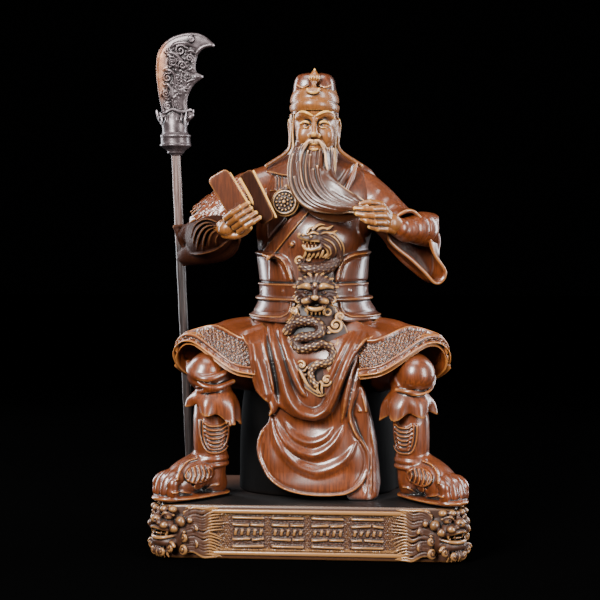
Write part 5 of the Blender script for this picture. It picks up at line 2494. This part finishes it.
def solid_share(points, triangles, low, count, cell):
    """How much of each cell of a raster lies inside a closed mesh."""
    volume = openvdb.FloatGrid.createLevelSetFromPolygons(
        ((points - low) / cell).astype(np.float32),
        triangles=triangles.astype(np.uint32),
        transform=openvdb.createLinearTransform(voxelSize=1.0),
        halfWidth=2.0,
    )
    away = np.empty(count, np.float32)
    volume.copyToArray(away)
    return np.clip(0.5 - away, 0, 1)


def spread(field, reach, passes=2):
    """A raster averaged over its neighbours within reach, along each axis in turn."""
    for _ in range(passes):
        for axis in range(3):
            total = field.copy()
            for shift in range(1, reach + 1):
                total += np.roll(field, shift, axis)
                total += np.roll(field, -shift, axis)
            field = total / (2 * reach + 1)
    return field


def sampled(field, at):
    """A raster's values between its cells."""
    last = np.array(field.shape) - 2
    index = np.clip(np.floor(at).astype(int), 0, last)
    part = np.clip(at - index, 0, 1)
    value = 0
    for corner in range(8):
        bits = [(corner >> k) & 1 for k in range(3)]
        weight = np.prod([part[:, k] if bits[k] else 1 - part[:, k] for k in range(3)], axis=0)
        value = value + weight * field[index[:, 0] + bits[0], index[:, 1] + bits[1], index[:, 2] + bits[2]]
    return value


# Cells in millimetres of the raster over the whole statue and of those over single pieces
COARSE, FINE = 2.0, 0.6


def wash(pieces):
    """Writes each piece's hollow, crest, proud and deep attributes, which the stains read.

    A place is hollow or a crest by the share of solid within 1.5 mm of it, proud by that within 3 mm,
    and deep by that within 7 mm.
    """
    margin = 12
    low = np.array(cad_box[0]) / MM - margin
    count = np.ceil((np.array(cad_box[1]) / MM + margin - low) / COARSE).astype(int)
    whole = np.zeros(count, np.float32)
    shapes = [triangles_of(one) for one in pieces]
    for points, _, triangles in shapes:
        whole = np.maximum(whole, solid_share(points, triangles, low, count, COARSE))
    whole = spread(whole, 3)
    for one, (points, normal, triangles) in zip(pieces, shapes):
        corner = points.min(0) - 4 * FINE
        space = np.ceil((points.max(0) + 4 * FINE - corner) / FINE).astype(int) + 1
        near = spread(solid_share(points, triangles, corner, space, FINE), 1, 3)
        # Both are read just over the skin, and the depth 4 mm out from it
        at = (points + 0.15 * normal - corner) / FINE
        bend, swelling = sampled(near, at), sampled(spread(near, 2), at)
        around_it = sampled(whole, (points + normal * 4 - low) / COARSE)
        for name, data in (
            ("hollow", np.clip((bend - 0.5) / 0.2, 0, 1)),
            ("crest", np.clip((0.36 - bend) / 0.16, 0, 1)),
            ("proud", np.clip((0.40 - swelling) / 0.14, 0, 1)),
            ("deep", np.clip((around_it - 0.36) / 0.36, 0, 1)),
        ):
            attribute = one.data.attributes.new(name, "FLOAT", "POINT")
            attribute.data.foreach_set("value", data.astype(np.float32))


# Stage


def camera_at(azimuth, elevation, target, distance, lens):
    """The camera that was fitted to the photo."""
    a, e = math.radians(azimuth), math.radians(elevation)
    back = Vector((math.sin(a) * math.cos(e), -math.cos(a) * math.cos(e), math.sin(e)))
    data = bpy.data.cameras.new("photo_camera")
    data.lens, data.sensor_width = lens, 36
    data.clip_start, data.clip_end = 0.05, 20
    made = bpy.data.objects.new("photo_camera", data)
    bpy.context.scene.collection.objects.link(made)
    made.location = Vector(target) + back * distance
    made.rotation_mode = "QUATERNION"
    made.rotation_quaternion = back.to_track_quat("Z", "Y")
    bpy.context.scene.camera = made


def softbox(name, location, target, size, watts, colour):
    """A rectangular light that faces a target."""
    data = bpy.data.lights.new(name, "AREA")
    data.shape = "RECTANGLE"
    data.size, data.size_y = size
    data.energy = watts
    data.color = colour
    made = bpy.data.objects.new(name, data)
    bpy.context.scene.collection.objects.link(made)
    made.location = location
    made.rotation_mode = "QUATERNION"
    made.rotation_quaternion = (Vector(location) - Vector(target)).to_track_quat("Z", "Y")


def build_stage():
    """A black cloth, a camera and softboxes: a key, a fill, two at the rim and one overhead."""
    camera_at(azimuth=5, elevation=3, target=(-0.012, 0, 0.195), distance=1.333, lens=100)
    deselect()
    bpy.ops.mesh.primitive_plane_add(size=8, location=(0, 0, -0.0002))
    floor = bpy.context.object
    floor.name = "studio_floor"
    floor.data.materials.append(studio_floor())
    world = bpy.data.worlds.new("studio_air")
    bpy.context.scene.world = world
    world.use_nodes = True
    background = world.node_tree.nodes["Background"]
    background.inputs["Color"].default_value = (0.72, 0.74, 0.78, 1)
    background.inputs["Strength"].default_value = 0.001
    middle = (0, 0, 0.2)
    softbox("key_softbox", (-0.5, -1.1, 0.85), middle, (0.4, 0.7), 50, (1, 0.98, 0.96))
    softbox("fill_softbox", (1.05, -0.75, 0.45), middle, (0.4, 0.9), 22, (1, 0.98, 0.97))
    softbox("rim_left", (-0.85, 0.5, 0.45), middle, (0.25, 0.9), 12, (0.9, 0.94, 1))
    softbox("rim_right", (0.85, 0.5, 0.45), middle, (0.25, 0.9), 12, (0.9, 0.94, 1))
    softbox("top_softbox", (0, -0.2, 1.1), middle, (0.5, 0.4), 5, (1, 1, 1))


# Sizes and colours a user would change


def colour_property(name, description, hex_colour):
    """A colour that a user would change."""
    return bpy.props.FloatVectorProperty(
        name=name,
        description=description,
        subtype="COLOR",
        size=4,
        min=0,
        max=1,
        default=linear(hex_colour),
    )


def length_property(name, description, default):
    """A length that a user would change."""
    return bpy.props.FloatProperty(
        name=name,
        description=description,
        default=default,
        unit="LENGTH",
        subtype="DISTANCE",
    )


class StatueSizes(bpy.types.PropertyGroup):
    """Sizes of the plinth, polearm and carving."""

    plinth_width: length_property("Plinth width", "From side to side, without the lions", 0.228)
    plinth_depth: length_property("Plinth depth", "From front to back, without the lions", 0.146)
    plinth_corner: length_property("Plinth corner", "Radius of the plinth's upright corners", 0.010)
    panel_end: length_property("Panel end margin", "From the plinth's end to its front panel", 0.039)
    panel_edge: length_property("Panel edge margin", "From the plinth's edges to its front panel", 0.0065)
    panel_sink: length_property("Panel depth", "How deep the front panel lies", 0.0024)
    shaft_diameter: length_property("Shaft diameter", "Diameter of the polearm's rod", 0.0074)
    ferrule_diameter: length_property("Ferrule diameter", "Diameter of the band at the rod's foot", 0.0108)
    beard_strands: bpy.props.IntProperty(
        name="Beard strands",
        description="Carved strands across the beard",
        default=24,
        min=12,
        max=60,
    )


class StatueColours(bpy.types.PropertyGroup):
    """Stains, rubbed edges and paints."""

    robe: colour_property("Robe stain", "Stain of the robe and sleeves", "#7c3c18")
    robe_worn: colour_property("Robe rubbed", "Where the robe's stain is rubbed thin", "#a0642e")
    armour: colour_property("Armour stain", "Stain of the plain armour", "#683214")
    armour_worn: colour_property("Armour rubbed", "Where the armour's stain is rubbed thin", "#96602c")
    relief: colour_property("Relief stain", "Stain of the small relief", "#3a1b0c")
    relief_worn: colour_property("Relief rubbed", "Rubbed tops of the small relief", "#a87c4a")
    skin: colour_property("Skin stain", "Stain of the face and hands", "#8e5626")
    skin_worn: colour_property("Skin rubbed", "Rubbed tops of the face and hands", "#c8964e")
    hair: colour_property("Beard stain", "Stain of the beard", "#4c2610")
    hair_worn: colour_property("Beard rubbed", "Rubbed strands of the beard", "#c89f76")
    dusk: colour_property("Dusky stain", "Stain of the shaded sleeve and of the open leaf", "#34180b")
    dusk_worn: colour_property("Dusky rubbed", "Rubbed folds of the dusky stain", "#5a3820")
    shade: colour_property("Seat stain", "Near-black stain of the seat and cloak", "#040303")
    shade_worn: colour_property("Seat rubbed", "Rubbed edges of the seat and cloak", "#080605")
    plinth: colour_property("Plinth stain", "Stain of the plain plinth", "#4c2b18")
    plinth_worn: colour_property("Plinth rubbed", "Rubbed edges of the plinth", "#8c6238")
    wash: colour_property("Dark wash", "Wash wiped into every recess", "#070302")


def sizes():
    """The sizes set in the panel."""
    return bpy.context.scene.statue_sizes


def stain(kind):
    """The lacquered stain of one kind of piece, mixed when it is first wanted."""
    made = bpy.data.materials.get("lacquered_resin_" + kind)
    if made:
        return made
    colours = bpy.context.scene.statue_colours
    grain, broad_wear, rough, coat = FINISHES[kind]
    return lacquered_resin(
        "lacquered_resin_" + kind,
        tuple(getattr(colours, kind)),
        tuple(getattr(colours, kind + "_worn")),
        tuple(colours.wash),
        grain,
        broad_wear,
        rough,
        coat,
    )


# Operators: one for each piece or group of like pieces


class STATUE_OT_head(bpy.types.Operator):
    """Carve the head, its cap and its hood"""

    bl_idname = "statue.head"
    bl_label = "Head, cap and hood"

    def execute(self, context):
        head_piece()
        cap_pieces()
        hood_piece()
        return {"FINISHED"}


class STATUE_OT_beard(bpy.types.Operator):
    """Carve the beard, strand by strand"""

    bl_idname = "statue.beard"
    bl_label = "Beard"

    def execute(self, context):
        beard_piece(sizes().beard_strands)
        return {"FINISHED"}


class STATUE_OT_armour(bpy.types.Operator):
    """Carve the torso's armour with its medallion, dragon and belt mask"""

    bl_idname = "statue.armour"
    bl_label = "Armour"

    def execute(self, context):
        torso_piece()
        medallion_piece()
        chest_dragon_piece()
        belt_lion_piece()
        return {"FINISHED"}


class STATUE_OT_left_arm(bpy.types.Operator):
    """Carve the open sleeve, the bracer and the hand that strokes the beard"""

    bl_idname = "statue.left_arm"
    bl_label = "Left arm"

    def execute(self, context):
        left_sleeve_piece()
        left_forearm_piece()
        left_hand_piece()
        return {"FINISHED"}


class STATUE_OT_right_arm(bpy.types.Operator):
    """Carve the shoulder guard, the gathered sleeve and the hand that holds the book"""

    bl_idname = "statue.right_arm"
    bl_label = "Right arm"

    def execute(self, context):
        right_hand_piece()
        right_sleeve_piece()
        right_pauldron_piece()
        return {"FINISHED"}


class STATUE_OT_book(bpy.types.Operator):
    """Model the open book"""

    bl_idname = "statue.book"
    bl_label = "Book"

    def execute(self, context):
        book_pieces()
        return {"FINISHED"}


class STATUE_OT_robe(bpy.types.Operator):
    """Carve the robe between the knees and the apron over it"""

    bl_idname = "statue.robe"
    bl_label = "Robe and apron"

    def execute(self, context):
        robe_piece()
        apron_piece()
        return {"FINISHED"}


class STATUE_OT_thigh_flaps(bpy.types.Operator):
    """Model the two embroidered flaps over the thighs"""

    bl_idname = "statue.thigh_flaps"
    bl_label = "Thigh flaps"

    def execute(self, context):
        for s in SIDES:
            thigh_flap_piece(s)
        return {"FINISHED"}


class STATUE_OT_legs(bpy.types.Operator):
    """Carve the knees, gathered trousers, greaves and boots"""

    bl_idname = "statue.legs"
    bl_label = "Legs"

    def execute(self, context):
        for s in SIDES:
            leg_piece(s)
        return {"FINISHED"}


class STATUE_OT_cloak(bpy.types.Operator):
    """Carve the seat and the cloak that falls over its back"""

    bl_idname = "statue.cloak"
    bl_label = "Seat and cloak"

    def execute(self, context):
        cloak_piece()
        return {"FINISHED"}


class STATUE_OT_plinth(bpy.types.Operator):
    """Model the plinth with its sunk panel, mouldings and rows of strokes"""

    bl_idname = "statue.plinth"
    bl_label = "Plinth"

    def execute(self, context):
        width, depth = plinth_size()
        plinth_block(width, depth, PLINTH_HEIGHT)
        plinth_mouldings(width, depth)
        panel_piece(width, -depth / 2, PLINTH_HEIGHT)
        return {"FINISHED"}


class STATUE_OT_plinth_lions(bpy.types.Operator):
    """Carve the two guardian heads at the plinth's front corners"""

    bl_idname = "statue.plinth_lions"
    bl_label = "Plinth lions"

    def execute(self, context):
        for s in SIDES:
            lion_piece(s, *plinth_size())
        return {"FINISHED"}


class STATUE_OT_polearm(bpy.types.Operator):
    """Turn the shaft and its ferrule, and carve the blade with its collar"""

    bl_idname = "statue.polearm"
    bl_label = "Polearm"

    def execute(self, context):
        shaft_pieces()
        polearm_head_piece()
        return {"FINISHED"}


class STATUE_OT_age(bpy.types.Operator):
    """Mark where the dark wash gathers and where the stain is rubbed thin"""

    bl_idname = "statue.age"
    bl_label = "Wash and rub"

    def execute(self, context):
        wash([one for one in context.scene.objects if one.name in PIECES])
        return {"FINISHED"}


class STATUE_OT_stage(bpy.types.Operator):
    """Set up the floor, the soft lights and the camera"""

    bl_idname = "statue.stage"
    bl_label = "Stage"

    def execute(self, context):
        build_stage()
        return {"FINISHED"}


PIECE_OPERATORS = (
    STATUE_OT_head,
    STATUE_OT_beard,
    STATUE_OT_armour,
    STATUE_OT_left_arm,
    STATUE_OT_right_arm,
    STATUE_OT_book,
    STATUE_OT_robe,
    STATUE_OT_thigh_flaps,
    STATUE_OT_legs,
    STATUE_OT_cloak,
    STATUE_OT_plinth,
    STATUE_OT_plinth_lions,
    STATUE_OT_polearm,
    STATUE_OT_age,
    STATUE_OT_stage,
)


class STATUE_PT_pieces(bpy.types.Panel):
    """The statue's pieces, sizes and colours"""

    bl_idname = "STATUE_PT_pieces"
    bl_label = "Carved general"
    bl_space_type = "VIEW_3D"
    bl_region_type = "UI"
    bl_category = "Statue"

    def draw(self, context):
        layout = self.layout
        for group in (context.scene.statue_sizes, context.scene.statue_colours):
            box = layout.box()
            for name in group.__annotations__:
                box.prop(group, name)
        for one in PIECE_OPERATORS:
            layout.operator(one.bl_idname)


CLASSES = (StatueSizes, StatueColours, STATUE_PT_pieces) + PIECE_OPERATORS


def register():
    for one in CLASSES:
        bpy.utils.register_class(one)
    bpy.types.Scene.statue_sizes = bpy.props.PointerProperty(type=StatueSizes)
    bpy.types.Scene.statue_colours = bpy.props.PointerProperty(type=StatueColours)


def unregister():
    del bpy.types.Scene.statue_colours
    del bpy.types.Scene.statue_sizes
    for one in reversed(CLASSES):
        bpy.utils.unregister_class(one)


def main():
    register()
    for one in PIECE_OPERATORS:
        step = getattr(bpy.ops.statue, one.bl_idname.split(".")[1])
        step()


if __name__ == "__main__":
    main()
